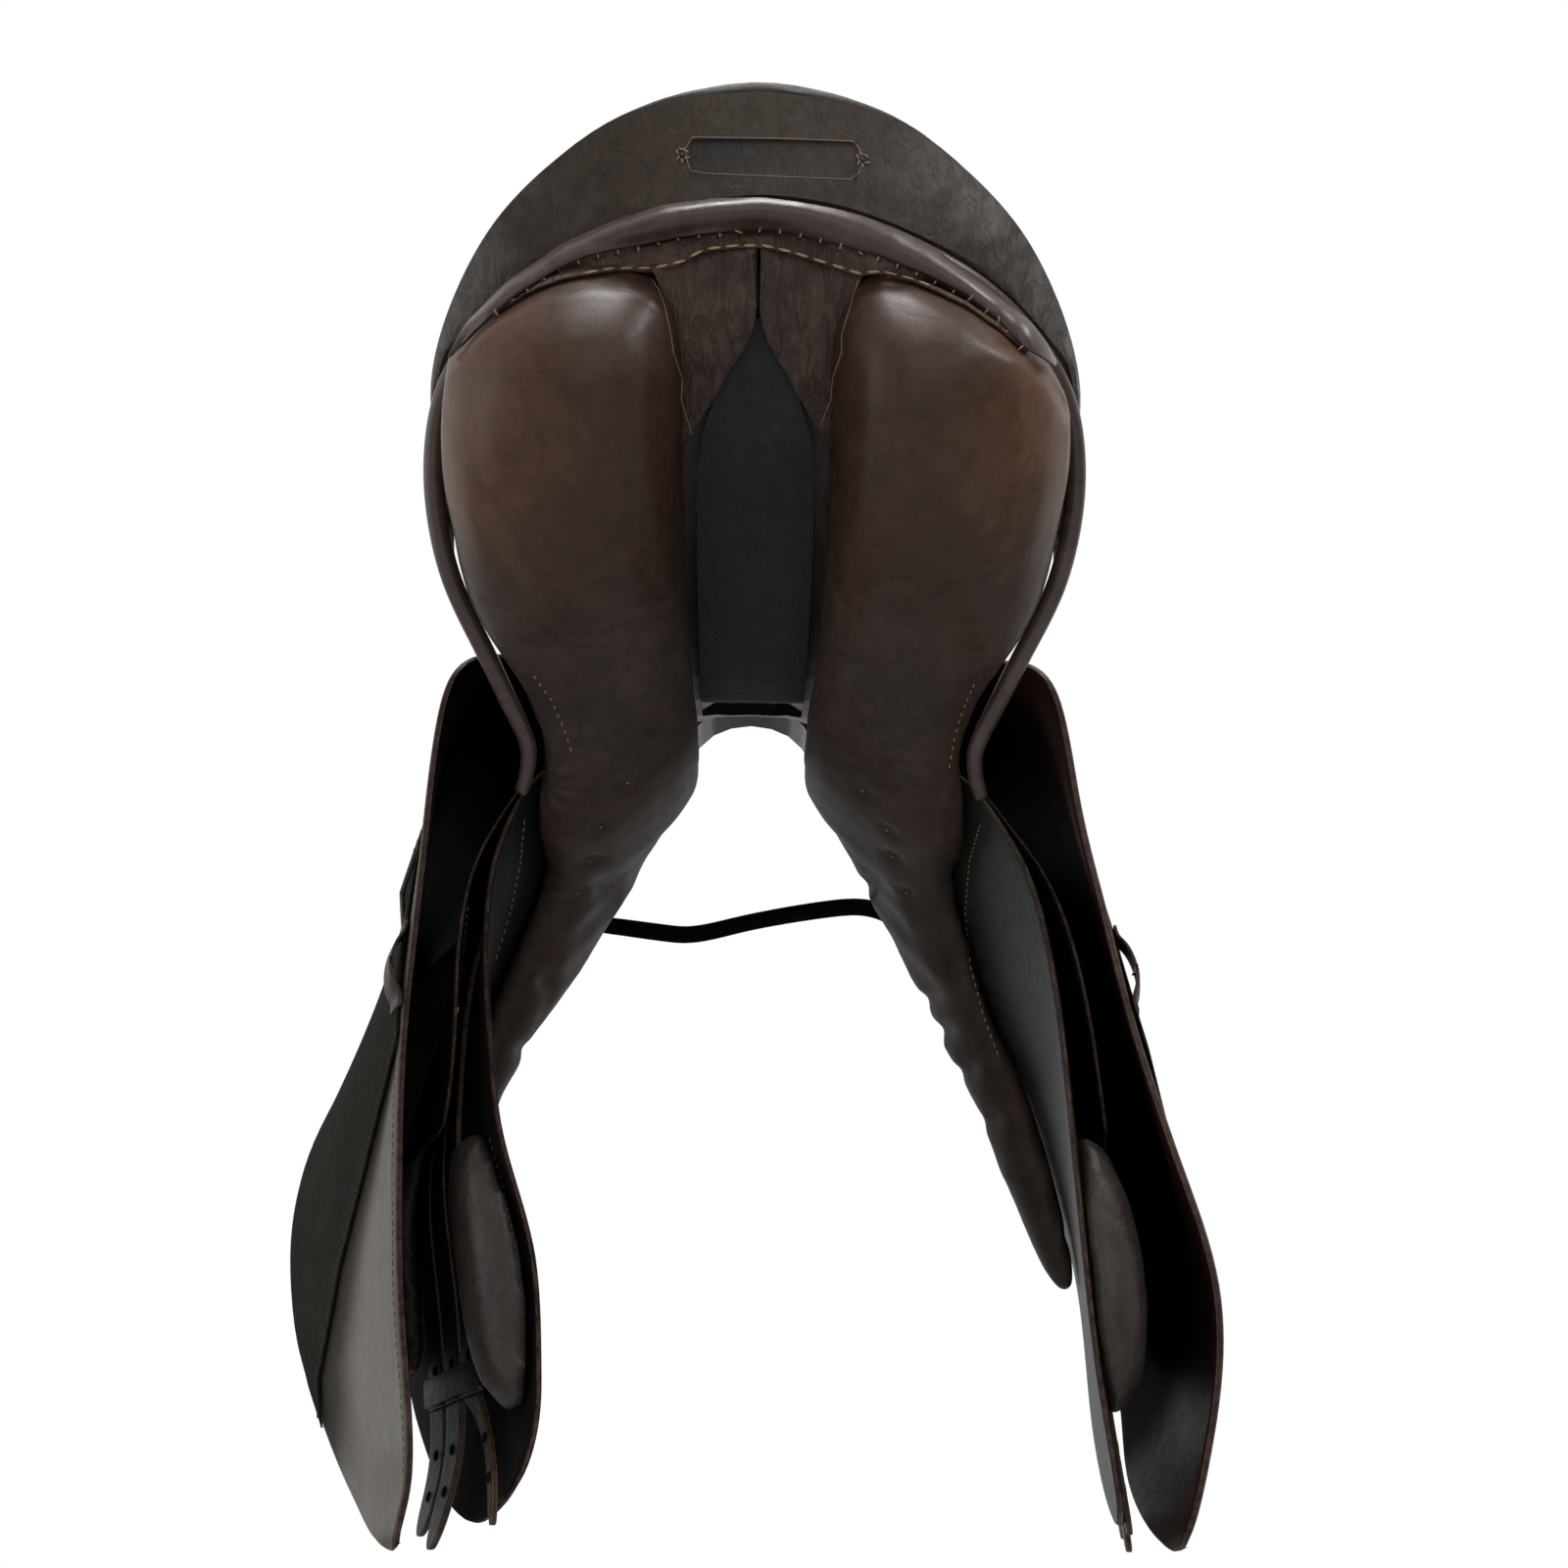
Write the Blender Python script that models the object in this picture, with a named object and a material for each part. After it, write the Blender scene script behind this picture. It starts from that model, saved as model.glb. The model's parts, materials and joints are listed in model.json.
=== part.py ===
"""English riding saddle: seat on a wooden tree, flocked panels, hanging flaps, straps and steel fittings.

Design frame, in millimetres: x to the right as seen from behind, y forward from the cantle's rear rim,
z up from the seat's lowest point. The part's own frame has its origin at the waist, at the level of
the panels' underside: see ORIGIN. A side is +1 for right and -1 for left.
"""
import math
from functools import lru_cache

import bmesh
import bpy

MM = 0.001
ORIGIN = (0.0, 250.0, -85.0)

# Clearances between pieces that touch on the real saddle
GAP = 0.35
SOFT_GAP = 0.7
PANEL_CLEAR = 1.6
BESIDE_SWEAT = {1: 2.4, -1: 1.7}
LIMIT_GIVE = 0.03

# Seat at stations from cantle to pommel: y, half width, edge height, centre height, crown power
SEAT_STATIONS = [
    (0.0, 9.0, 137.0, 138.0, 2.3),
    (1.5, 42.0, 132.0, 136.0, 2.3),
    (7.0, 78.0, 119.0, 127.0, 2.3),
    (26.0, 119.0, 89.0, 98.0, 2.3),
    (50.0, 142.0, 65.0, 71.0, 2.3),
    (84.0, 158.0, 45.0, 40.0, 2.3),
    (118.0, 163.0, 32.0, 21.0, 2.4),
    (154.0, 156.0, 10.0, 8.5, 2.5),
    (190.0, 132.0, -8.0, 2.0, 2.5),
    (226.0, 103.0, -18.0, 0.0, 2.5),
    (262.0, 83.0, -24.0, 0.0, 2.5),
    (298.0, 75.0, -25.0, 2.0, 2.5),
    (334.0, 75.0, -25.0, 8.0, 2.6),
    (370.0, 75.0, -25.0, 21.0, 2.8),
    (404.0, 75.0, -25.0, 41.0, 3.2),
    (432.0, 75.0, -22.0, 61.0, 3.6),
    (454.0, 71.0, -14.0, 69.0, 3.6),
    (470.0, 60.0, 2.0, 70.0, 3.0),
    (482.0, 40.0, 34.0, 62.0, 2.6),
]

# Seat layers, measured straight down
COVER_T = 2.2
COVER_EDGE_T = 9.0
COVER_RIM_T = 5.0
RIM_GAP = 1.2
FOAM_T = 11.0
FOAM_HEAD_T = 5.0
FOAM_EDGE_SHARE = 0.55
WEB_T = 1.2
TREE_T = 10.0
SPRING_T = 2.2
SPRING_GAP = 0.9
SPRING_REAR = 66.0
INSET_BACK = 7.0
INSET_SIDE = 4.0
BACK_END_Y = 150.0
SEAT_ROWS = 22
TREE_FRONT = 430.0
TREE_OPENING = (118.0, 372.0)
TREE_OPENING_HALF = 30.0

# Grid that every seat layer shares: columns as shares of the half width, those the webbing takes,
# and the first row clear of the cantle's rim
INNER_SHARES = (0.3, 0.56, 0.78, 0.92, 1.0)
WEB_SHARES = 2
FIRST_INNER_ROW = 4

# Rolled welt along the panel's upper edge, right side: x, y, z
WELT_PATH = [
    (0.0, 12.0, 70.0), (30.0, 14.0, 67.5), (58.0, 20.0, 63.0), (97.0, 39.0, 57.0), (127.0, 61.0, 46.0),
    (149.0, 85.0, 29.0), (158.0, 106.0, 8.0), (159.0, 127.0, -18.0), (152.0, 150.0, -47.0),
    (138.0, 177.0, -69.0), (125.0, 205.0, -89.0), (117.0, 222.0, -102.0), (118.0, 233.0, -113.0),
    (122.0, 241.0, -122.0),
]
WELT_R = 5.5
WELT_END_R = 4.0
WELT_GROOVE = 0.9

# Sections along the cantle's back and the welt, counted along the welt's points, and the seat's
# station beside each point
BACK_PLACES = [0.0, 0.4, 0.8, 1.3, 1.8, 2.4, 3.0, 3.5, 4.0, 4.5, 5.0, 5.5, 6.0, 6.5, 7.0, 7.5, 8.0]
BLOCK_PLACES = BACK_PLACES[:5]
WELT_PLACES = BACK_PLACES + [8.5, 9.0, 9.5, 10.0, 10.5, 11.0, 11.5, 12.0, 12.5, 13.0]
SEAT_BESIDE_WELT = [(0, 0.0), (1, 0.7), (2, 1.35), (3, 2.4), (4, 3.25), (5, 4.35), (6, 5.2), (7, 6.05),
                    (8, 6.95)]

# Back of the cantle
BACK_T = 2.2
BACK_RECESS = (-39.0, 39.0, 86.0, 106.0)
BACK_RECESS_DEPTH = 0.8
BLOCK_W = 24.0
BLOCK_GAP = 0.8
UNDER_TREE = 2.2

# Gullet lining: y, z along the middle, and the half width of its leaf
LINING_LINE = [(47.0, 20.0), (70.0, 3.0), (120.0, -19.0), (180.0, -38.0), (250.0, -50.0),
               (290.0, -48.0), (350.0, -30.0), (400.0, 0.0), (428.0, 20.0)]
LINING_LEAF = [(47.0, 2.0), (60.0, 14.5), (85.0, 26.0), (120.0, 29.0), (300.0, 29.0), (428.0, 33.0)]
LINING_T = 1.2
BESIDE_LEAF = 0.8

# Rear gusset, right side: inner and outer edge
GUSSET_INNER = [(0.4, 17.5, 62.0), (0.4, 21.0, 47.0), (0.4, 31.0, 34.0), (0.6, 42.0, 22.0),
                (14.5, 57.0, 10.0), (25.0, 80.0, -5.5), (28.4, 98.0, -14.0)]
GUSSET_OUTER = [(46.0, 18.0, 56.5), (40.0, 20.0, 46.0), (32.0, 32.0, 32.0), (29.3, 48.0, 17.0),
                (29.2, 64.0, 4.5), (29.2, 84.0, -7.5), (29.2, 100.0, -15.0)]
GUSSET_T = 1.4

# Head arch, half of its inner line in x and z, and its stack outward from that line
ARCH_LINE = [(0.0, 38.0), (18.0, 34.5), (32.0, 24.0), (42.0, 6.0), (49.0, -14.0), (56.0, -33.0),
             (74.0, -55.0), (90.0, -74.0), (107.0, -98.0)]
FACING_T = 1.4
PLATE_T = 3.0
HEAD_T = 8.0
HEAD_Y = (432.0, 462.0)
PLATE_Y = (436.0, 458.0)
FACING_Y = (431.0, 464.0)
FACING_LAST = 8
ARCH_STEPS = 11

# Sweat flap: rear edge x over z, toe-out over z, and the outline in y over z
SWEAT_T = 3.5
SWEAT_PIVOT_Y = 250.0
SWEAT_REAR_X = {
    1: [(-50, 68), (-75, 92), (-100, 113), (-131, 130), (-156, 143), (-188, 152), (-240, 158),
        (-329, 161), (-412, 165), (-485, 174)],
    -1: [(-50, 68), (-75, 92), (-100, 112), (-131, 126), (-158, 134), (-190, 136), (-221, 134),
         (-252, 129), (-292, 122), (-330, 112), (-367, 103), (-403, 99), (-440, 97), (-485, 108)],
}
SWEAT_TOE = {
    1: [(-50, 0.0), (-75, -0.02), (-100, -0.05), (-173, -0.06), (-222, 0.05), (-240, 0.08), (-300, 0.15),
        (-341, 0.17), (-420, 0.16), (-485, 0.14)],
    -1: [(-50, 0.0), (-75, -0.02), (-100, -0.04), (-134, 0.0), (-174, 0.1), (-193, 0.15), (-236, 0.26),
         (-318, 0.44), (-420, 0.45), (-485, 0.42)],
}
SWEAT_LEVELS = [-92, -104, -116, -128, -140, -152, -164, -178, -194, -212, -234, -258, -282, -306,
                -330, -354, -378, -398, -412, -428, -446, -460, -470, -474]
SWEAT_REAR_Y = [(-92, 262), (-110, 250), (-131, 246), (-219, 252), (-329, 258), (-412, 262),
                (-452, 268), (-466, 280), (-472, 298), (-474, 312)]
SWEAT_FRONT_Y = [(-92, 446), (-140, 456), (-200, 466), (-260, 474), (-330, 474), (-380, 464),
                 (-420, 442), (-448, 406), (-466, 362), (-472, 336), (-474, 320)]

# Outer flap: hinge line, shoulder and hanging part
FLAP_T = 3.6
FLAP_HINGE = (78.4, -31.0)
SKIRT_HINGE = (80.7, -29.5)
SKIRT_T = 2.6
SKIRT_STAND_OFF = 11.0
SKIRT_HINGE_T = 1.6
FLAP_HINGE_T = 2.0
SHOULDER = 100.0
SHOULDER_Z = -110.0
SHOULDER_REACH = [(205, 82.0), (235, 66.0), (268, 46.0)]
SHOULDER_RISE = 52.0
FLAP_DROP = 476.0
FLAP_REAR_X = {
    1: [(-48, 159), (-103, 164), (-145, 170), (-185, 179), (-244, 191), (-297, 206), (-323, 214),
        (-356, 225), (-382, 228), (-401, 227), (-426, 223), (-450, 217), (-486, 208)],
    -1: [(-48, 158), (-85, 161), (-127, 165), (-168, 167), (-207, 169), (-246, 171), (-284, 171),
         (-322, 169), (-358, 167), (-394, 163), (-428, 158), (-462, 156), (-486, 164)],
}
FLAP_TOE = {
    1: [(-60, -0.1), (-103, -0.05), (-177, 0.0), (-255, 0.0), (-317, -0.02), (-361, -0.04),
        (-404, -0.06), (-486, -0.19)],
    -1: [(-60, -0.05), (-103, 0.02), (-177, 0.22), (-210, 0.31), (-253, 0.395), (-297, 0.425),
         (-362, 0.42), (-405, 0.39), (-486, 0.36)],
}
FLAP_BOW = {
    1: [(-103, 0.0), (-177, 8.0), (-255, 14.0), (-361, 15.0), (-486, 6.0)],
    -1: [(-103, 0.0), (-177, 2.0), (-486, 2.0)],
}
FLAP_REACH = 220.0
# Flap outline, all as shares of its drop: rear edge and front edge in y, and the rows of its mesh
FLAP_REAR_Y = [(0, 296), (0.0126, 284), (0.0252, 268), (0.042, 248), (0.063, 230), (0.0882, 216),
               (0.1218, 209), (0.1639, 208), (0.2101, 212), (0.2836, 222), (0.4916, 240),
               (0.6576, 254), (0.8214, 268), (0.9349, 278), (0.9748, 286), (0.9937, 298), (1, 308)]
FLAP_FRONT_Y = [(0, 450), (0.1261, 452), (0.2311, 454), (0.3508, 460), (0.5105, 478),
                (0.6513, 490), (0.7668, 484), (0.8508, 460), (0.916, 420), (0.9664, 366),
                (0.9916, 330), (1, 314)]
FLAP_ROWS = [0, 0.0126, 0.0294, 0.0504, 0.0756, 0.105, 0.1387, 0.1723, 0.2101, 0.2563, 0.3109,
             0.3697, 0.4328, 0.5, 0.5672, 0.6345, 0.6975, 0.7563, 0.8109, 0.8613, 0.9076, 0.9454,
             0.9748, 0.9916, 1]
PATCH_REAR_Y = [(0.2479, 392), (0.3571, 380), (0.5042, 374), (0.6723, 378), (0.9286, 384)]
PATCH_FRONT_INSET = 6.0
PATCH_T = 1.2
PATCH_GAP = 1.1
NOTCH_Y = (318.0, 438.0)
NOTCH_R = 36.0
TOP_STRIP_Y = (306.0, 446.0)

# Blocks under the flap: y range, z range, and height off the sweat flap
KNEE_BLOCK = ((396.0, 462.0), (-392.0, -106.0), 56.0)
BLOCK_CLEAR = 2.5
THIGH_BLOCK = ((266.0, 300.0), (-426.0, -298.0), 25.0)

# Panel, right side: upper or front edge, lower or rear edge, crown to the horse, fullness behind.
# Where x is None the edge stands off the sweat flap.
PANEL_STATIONS = [
    ((62.0, 15.0, 50.0), (106.0, 23.0, 45.0), 7.0, 3.0),
    ((42.0, 22.0, 44.0), (127.0, 39.0, 41.0), 26.0, 8.0),
    ((34.0, 36.0, 31.0), (145.0, 58.0, 34.0), 42.0, 12.0),
    ((29.9, 57.0, 14.0), (150.0, 82.0, 21.0), 51.0, 14.0),
    ((29.9, 86.0, -3.0), (153.0, 105.0, 3.0), 53.0, 14.0),
    ((29.9, 120.0, -20.0), (150.0, 128.0, -21.0), 49.0, 14.0),
    ((29.9, 155.0, -32.0), (143.0, 154.0, -49.0), 43.0, 14.0),
    ((29.9, 190.0, -42.0), (129.0, 180.0, -70.0), 37.0, 12.0),
    ((29.9, 222.0, -49.0), (118.0, 206.0, -88.0), 31.0, 12.0),
    ((31.0, 250.0, -53.0), (114.0, 231.0, -111.0), 27.0, 12.0),
    ((32.0, 280.0, -53.0), (118.0, 262.0, -131.0), 26.0, 12.0),
    ((34.0, 312.0, -50.0), (None, 296.0, -132.0), 26.0, 12.0),
    ((38.0, 347.0, -42.0), (None, 328.0, -134.0), 27.0, 12.0),
    ((46.0, 385.0, -34.0), (None, 350.0, -147.0), 22.0, 12.0),
    ((60.0, 418.0, -48.0), (None, 366.0, -165.0), 19.0, 12.0),
    ((None, 440.0, -80.0), (None, 378.0, -185.0), 17.0, 12.0),
    ((None, 451.0, -118.0), (None, 390.0, -206.0), 16.0, 12.0),
    ((None, 457.0, -160.0), (None, 398.0, -230.0), 17.0, 11.0),
    ((None, 461.0, -204.0), (None, 404.0, -256.0), 18.0, 10.0),
    ((None, 464.0, -250.0), (None, 408.0, -284.0), 22.0, 9.0),
    ((None, 463.0, -292.0), (None, 413.0, -311.0), 19.0, 8.0),
    ((None, 457.0, -324.0), (None, 420.0, -334.0), 13.0, 6.0),
    ((None, 446.0, -342.0), (None, 432.0, -345.0), 5.0, 3.0),
]
PANEL_FRONT_OFF = 13.0
PANEL_REAR_OFF = 7.0
PANEL_RINGS = 38
PANEL_SIDES = 16
PANEL_FULLNESS = 0.82

# Sewn channels across the front of the panel: places along its stations, depth and width
CHANNELS = (11.6, 12.9, 14.2, 15.5, 16.8, 18.1, 19.4)
CHANNEL_DEPTH = 0.13
CHANNEL_WIDTH = 0.22

# Girth straps between sweat flap and outer flap
BILLET_Y = (324.0, 351.0, 378.0)
BILLET_W = 23.0
BILLET_T = 3.0
BILLET_OFF = 0.9
BILLET_TOP = -52.0
BILLET_HINGE = -414.0
TAIL_END = (-478.0, -484.0, -476.0)
TAIL_SLANT = {1: (0.0, 0.0, 0.0), -1: (46.0, 0.0, 0.0)}
TAIL_GAP = 0.8
KEEPER_Z = (-412.0, -398.0)
KEEPER_T = 1.6
GUARD_Z = (-290.0, -98.0)
GUARD_T = 2.6

# Stirrup bar under the skirt
BAR_PLATE = ((71.6, 74.6), (352.0, 430.0), (-48.0, -35.0))
BAR_X = (86.0, 94.0)
BAR_Z = (-48.0, -39.0)
CATCH_L = 21.0

# Dee rings and grab strap across the front
DEE_AT = (110.0, 466.8, -106.0)
DEE_R = 9.0
DEE_WIRE = 1.7
STRAP_R = 6.0
STRAP_PATH = [(-99.8, 471.1, -106.0), (-92.0, 487.0, -98.0), (-62.0, 497.0, -98.0), (-36.0, 499.0, -99.0),
              (0.0, 499.0, -90.0), (36.0, 498.0, -83.0), (72.0, 494.0, -80.0), (92.0, 485.0, -90.0),
              (99.8, 471.1, -106.0)]


def cubic(knots, t):
    """Smooth curve through (position, value) pairs, held at its end values."""
    if knots[0][0] > knots[-1][0]:
        knots = knots[::-1]
    if t <= knots[0][0]:
        return float(knots[0][1])
    if t >= knots[-1][0]:
        return float(knots[-1][1])
    i = 0
    while knots[i + 1][0] < t:
        i += 1
    slopes = []
    for j in (i, i + 1):
        a = max(j - 1, 0)
        b = min(j + 1, len(knots) - 1)
        slopes.append((knots[b][1] - knots[a][1]) / (knots[b][0] - knots[a][0]))
    span = knots[i + 1][0] - knots[i][0]
    s = (t - knots[i][0]) / span
    h00 = 2 * s ** 3 - 3 * s ** 2 + 1
    h10 = s ** 3 - 2 * s ** 2 + s
    h01 = -2 * s ** 3 + 3 * s ** 2
    h11 = s ** 3 - s ** 2
    return (h00 * knots[i][1] + h10 * span * slopes[0]
            + h01 * knots[i + 1][1] + h11 * span * slopes[1])


def along(points, t):
    """Smooth curve through points at t from 0 to 1, evenly by their number."""
    last = len(points) - 1
    result = []
    for axis in range(len(points[0])):
        knots = [(k, point[axis]) for k, point in enumerate(points)]
        result.append(cubic(knots, t * last))
    return tuple(result)


def spread(first, last, count):
    return [first + (last - first) * k / (count - 1) for k in range(count)]


def find(function, target, low, high):
    """Where a rising function reaches the target."""
    for _ in range(40):
        middle = (low + high) / 2
        if function(middle) < target:
            low = middle
        else:
            high = middle
    return (low + high) / 2


@lru_cache(maxsize=None)
def seat_row(u):
    return along(SEAT_STATIONS, u)


@lru_cache(maxsize=None)
def seat_u(y):
    return find(lambda u: seat_row(u)[0], y, 0.0, 1.0)


def seat_z(x, y):
    """Height of the seat's upper face."""
    _, half, edge, centre, power = seat_row(seat_u(y))
    share = min(abs(x) / half, 1.0)
    return centre + (edge - centre) * share ** power


def seat_outline(u, inset):
    """Right-hand edge point of the seat, drawn in square to its outline."""
    y, half = seat_row(u)[:2]
    step = 0.002
    after = seat_row(min(u + step, 1.0))
    before = seat_row(max(u - step, 0.0))
    along_y = after[0] - before[0]
    along_x = after[1] - before[1]
    length = math.hypot(along_x, along_y)
    return half - inset * along_y / length, y + inset * along_x / length


def foam_drop(x, y):
    """Depth of the foam's lower face below the seat."""
    share = min(abs(x) / seat_row(seat_u(y))[1], 1.0)
    thick = min(cubic([(0, FOAM_T), (380, FOAM_T), (428, FOAM_HEAD_T), (490, FOAM_HEAD_T)], y), FOAM_T)
    return COVER_T + GAP + thick * (1 - (1 - FOAM_EDGE_SHARE) * share ** 2)


def tree_top_drop(x, y):
    share = min(abs(x) / seat_row(seat_u(y))[1], 1.0)
    foam = FOAM_T * (1 - (1 - FOAM_EDGE_SHARE) * share ** 2)
    return COVER_T + foam + WEB_T + 3 * GAP


def tree_bottom(x, y):
    return seat_z(x, y) - tree_top_drop(x, y) - TREE_T


def sweat_x(side, y, z):
    """Middle of the sweat flap's sheet, measured outward."""
    return cubic(SWEAT_REAR_X[side], z) + cubic(SWEAT_TOE[side], z) * (y - SWEAT_PIVOT_Y)


def flap_hang_x(side, y, z):
    reach = y - cubic(FLAP_REAR_Y, (SHOULDER + SHOULDER_Z - z) / FLAP_DROP)
    bow = math.sin(math.pi * min(max(reach / FLAP_REACH, 0.0), 1.0))
    return cubic(FLAP_REAR_X[side], z) + cubic(FLAP_TOE[side], z) * reach + cubic(FLAP_BOW[side], z) * bow


def shoulder_tilt(y):
    return math.radians(cubic([(205, 8.0), (260, 22.0), (320, 38.0), (450, 38.0)], y))


def flap_point(side, y, drop):
    """Middle of the outer flap's sheet, drop millimetres below its hinge: outward x, y and z."""
    if drop >= SHOULDER:
        z = SHOULDER_Z - (drop - SHOULDER)
        return flap_hang_x(side, y, z), y, z
    end_x = flap_hang_x(side, y, SHOULDER_Z)
    slope = (flap_hang_x(side, y, SHOULDER_Z - 10) - end_x) / 10.0
    tilt = shoulder_tilt(y)
    reach = cubic(SHOULDER_REACH, y)
    points = [
        FLAP_HINGE,
        (FLAP_HINGE[0] + reach * math.cos(tilt), FLAP_HINGE[1] - reach * math.sin(tilt)),
        (end_x - SHOULDER_RISE * slope, SHOULDER_Z + SHOULDER_RISE),
        (end_x, SHOULDER_Z),
    ]
    t = drop / SHOULDER
    weights = ((1 - t) ** 3, 3 * t * (1 - t) ** 2, 3 * t * t * (1 - t), t ** 3)
    x = sum(w * p[0] for w, p in zip(weights, points))
    z = sum(w * p[1] for w, p in zip(weights, points))
    return x, y, z


def arch_point(t, offset):
    """Point on the head arch, t from 0 at the top to 1 at the leg's end, offset outward."""
    x, z = along(ARCH_LINE, t)
    step = 0.004
    ahead = along(ARCH_LINE, min(t + step, 1.0))
    behind = along(ARCH_LINE, max(t - step, 0.0))
    dx = ahead[0] - behind[0]
    dz = ahead[1] - behind[1]
    length = math.hypot(dx, dz)
    return x - offset * dz / length, z + offset * dx / length


def panel_ceiling(x, y):
    """Highest the panels may reach below the tree, the cantle block and the head."""
    limit = tree_bottom(x, y) - SPRING_GAP - SPRING_T - PANEL_CLEAR
    if y < 90:
        limit = min(limit, welt_height(y) - WELT_R + 1.0)
    if y > HEAD_Y[0] - 12:
        t = find(lambda s: along(ARCH_LINE, s)[0], min(abs(x), ARCH_LINE[-1][0]), 0.0, 1.0)
        limit = min(limit, along(ARCH_LINE, t)[1] - PANEL_CLEAR)
    return limit


def welt_height(y):
    return cubic([(point[1], point[2]) for point in WELT_PATH[:10]], y)


# Mesh building


def material(name, colour, roughness, metallic=0.0):
    existing = bpy.data.materials.get(name)
    if existing:
        return existing
    result = bpy.data.materials.new(name)
    result.use_nodes = True
    shader = result.node_tree.nodes["Principled BSDF"]
    shader.inputs["Base Color"].default_value = (*colour, 1.0)
    shader.inputs["Roughness"].default_value = roughness
    shader.inputs["Metallic"].default_value = metallic
    return result


def plum_leather():
    return material("plum_leather", (0.055, 0.026, 0.022), 0.38)


def brown_leather():
    return material("brown_leather", (0.085, 0.043, 0.026), 0.36)


def dark_leather():
    return material("dark_leather", (0.022, 0.021, 0.018), 0.5)


def grip_leather():
    return material("grip_leather", (0.03, 0.027, 0.023), 0.62)


def strap_leather():
    return material("strap_leather", (0.012, 0.011, 0.011), 0.4)


def lining_cloth():
    return material("lining_cloth", (0.02, 0.022, 0.02), 0.7)


def steel():
    return material("steel", (0.5, 0.5, 0.5), 0.3, 1.0)


def beech():
    return material("beech", (0.5, 0.33, 0.18), 0.55)


def foam():
    return material("foam", (0.62, 0.58, 0.4), 0.9)


def web():
    return material("web", (0.5, 0.45, 0.36), 0.85)


def make(name, vertices, faces, surface, origin=None):
    """Closed object from design-frame millimetres, turned outside out, its origin at a given point."""
    base = origin or ORIGIN
    mesh = bpy.data.meshes.new(name)
    mesh.from_pydata([[(p[k] - base[k]) * MM for k in range(3)] for p in vertices], [], faces)
    shape = bmesh.new()
    shape.from_mesh(mesh)
    bmesh.ops.recalc_face_normals(shape, faces=shape.faces)
    shape.to_mesh(mesh)
    shape.free()
    mesh.shade_smooth()
    mesh.set_sharp_from_angle(angle=math.radians(40))
    mesh.materials.append(surface)
    result = bpy.data.objects.new(name, mesh)
    result.location = [(base[k] - ORIGIN[k]) * MM for k in range(3)]
    bpy.context.collection.objects.link(result)
    return result


def slab(upper, lower):
    """Vertices and faces of a closed sheet between two grids of points."""
    rows = len(upper)
    cols = len(upper[0])
    vertices = [p for row in upper for p in row] + [p for row in lower for p in row]
    half = rows * cols
    faces = []
    for r in range(rows - 1):
        for c in range(cols - 1):
            a = r * cols + c
            for corner in ((a, a + 1, a + cols + 1), (a, a + cols + 1, a + cols)):
                faces.append(corner)
                faces.append(tuple(half + k for k in reversed(corner)))
    rim = [c for c in range(cols)]
    rim += [r * cols + cols - 1 for r in range(1, rows)]
    rim += [(rows - 1) * cols + c for c in range(cols - 2, -1, -1)]
    rim += [r * cols for r in range(rows - 2, 0, -1)]
    for k, a in enumerate(rim):
        b = rim[(k + 1) % len(rim)]
        faces.append((a, half + a, half + b, b))
    return vertices, faces


def skin(rings, closed=False):
    """Vertices and faces of a body through rings of points, its two ends closed by fans."""
    count = len(rings[0])
    vertices = [p for ring in rings for p in ring]
    faces = []
    for r in range(len(rings) - 1 + (1 if closed else 0)):
        first = r * count
        second = ((r + 1) % len(rings)) * count
        for c in range(count):
            d = (c + 1) % count
            faces.append((first + c, first + d, second + d, second + c))
    if not closed:
        for first, ring in ((0, rings[0]), ((len(rings) - 1) * count, rings[-1])):
            centre = tuple(sum(p[k] for p in ring) / count for k in range(3))
            vertices.append(centre)
            hub = len(vertices) - 1
            for c in range(count):
                faces.append((first + c, first + (c + 1) % count, hub))
    return vertices, faces


def unit(v):
    length = math.sqrt(sum(c * c for c in v))
    return tuple(c / length for c in v)


def cross(a, b):
    return (a[1] * b[2] - a[2] * b[1], a[2] * b[0] - a[0] * b[2], a[0] * b[1] - a[1] * b[0])


def minus(a, b):
    return tuple(p - q for p, q in zip(a, b))


def plus(a, b, scale=1.0):
    return tuple(p + q * scale for p, q in zip(a, b))


def tube(path, radii, sides=12, closed=False):
    """Round body along a path, with one radius or one for each point."""
    rings = []
    last = len(path) - 1
    for k, point in enumerate(path):
        if closed:
            ahead = path[(k + 1) % len(path)]
            behind = path[k - 1]
        else:
            ahead = path[min(k + 1, last)]
            behind = path[max(k - 1, 0)]
        tangent = unit(minus(ahead, behind))
        guide = (0.0, 0.0, 1.0) if abs(tangent[2]) < 0.9 else (0.0, 1.0, 0.0)
        if k:
            guide = normal
        sideways = unit(cross(guide, tangent))
        normal = cross(tangent, sideways)
        radius = radii if isinstance(radii, (int, float)) else radii[k]
        ring = []
        for s in range(sides):
            angle = 2 * math.pi * s / sides
            spoke = plus(tuple(c * math.cos(angle) for c in sideways), normal, math.sin(angle))
            ring.append(plus(point, spoke, radius))
        rings.append(ring)
    return skin(rings, closed)


def box(x_range, y_range, z_range):
    """Upright block between the given limits."""
    vertices = [(x, y, z) for x in x_range for y in y_range for z in z_range]
    faces = [(0, 1, 3, 2), (4, 6, 7, 5), (0, 4, 5, 1), (2, 3, 7, 6), (0, 2, 6, 4), (1, 5, 7, 3)]
    return vertices, faces


def cylinder(centre, axis, radius, length, sides=16):
    """Pin whose axis starts at the centre point."""
    far = plus(centre, axis, length)
    return tube([centre, far], radius, sides)


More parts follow.
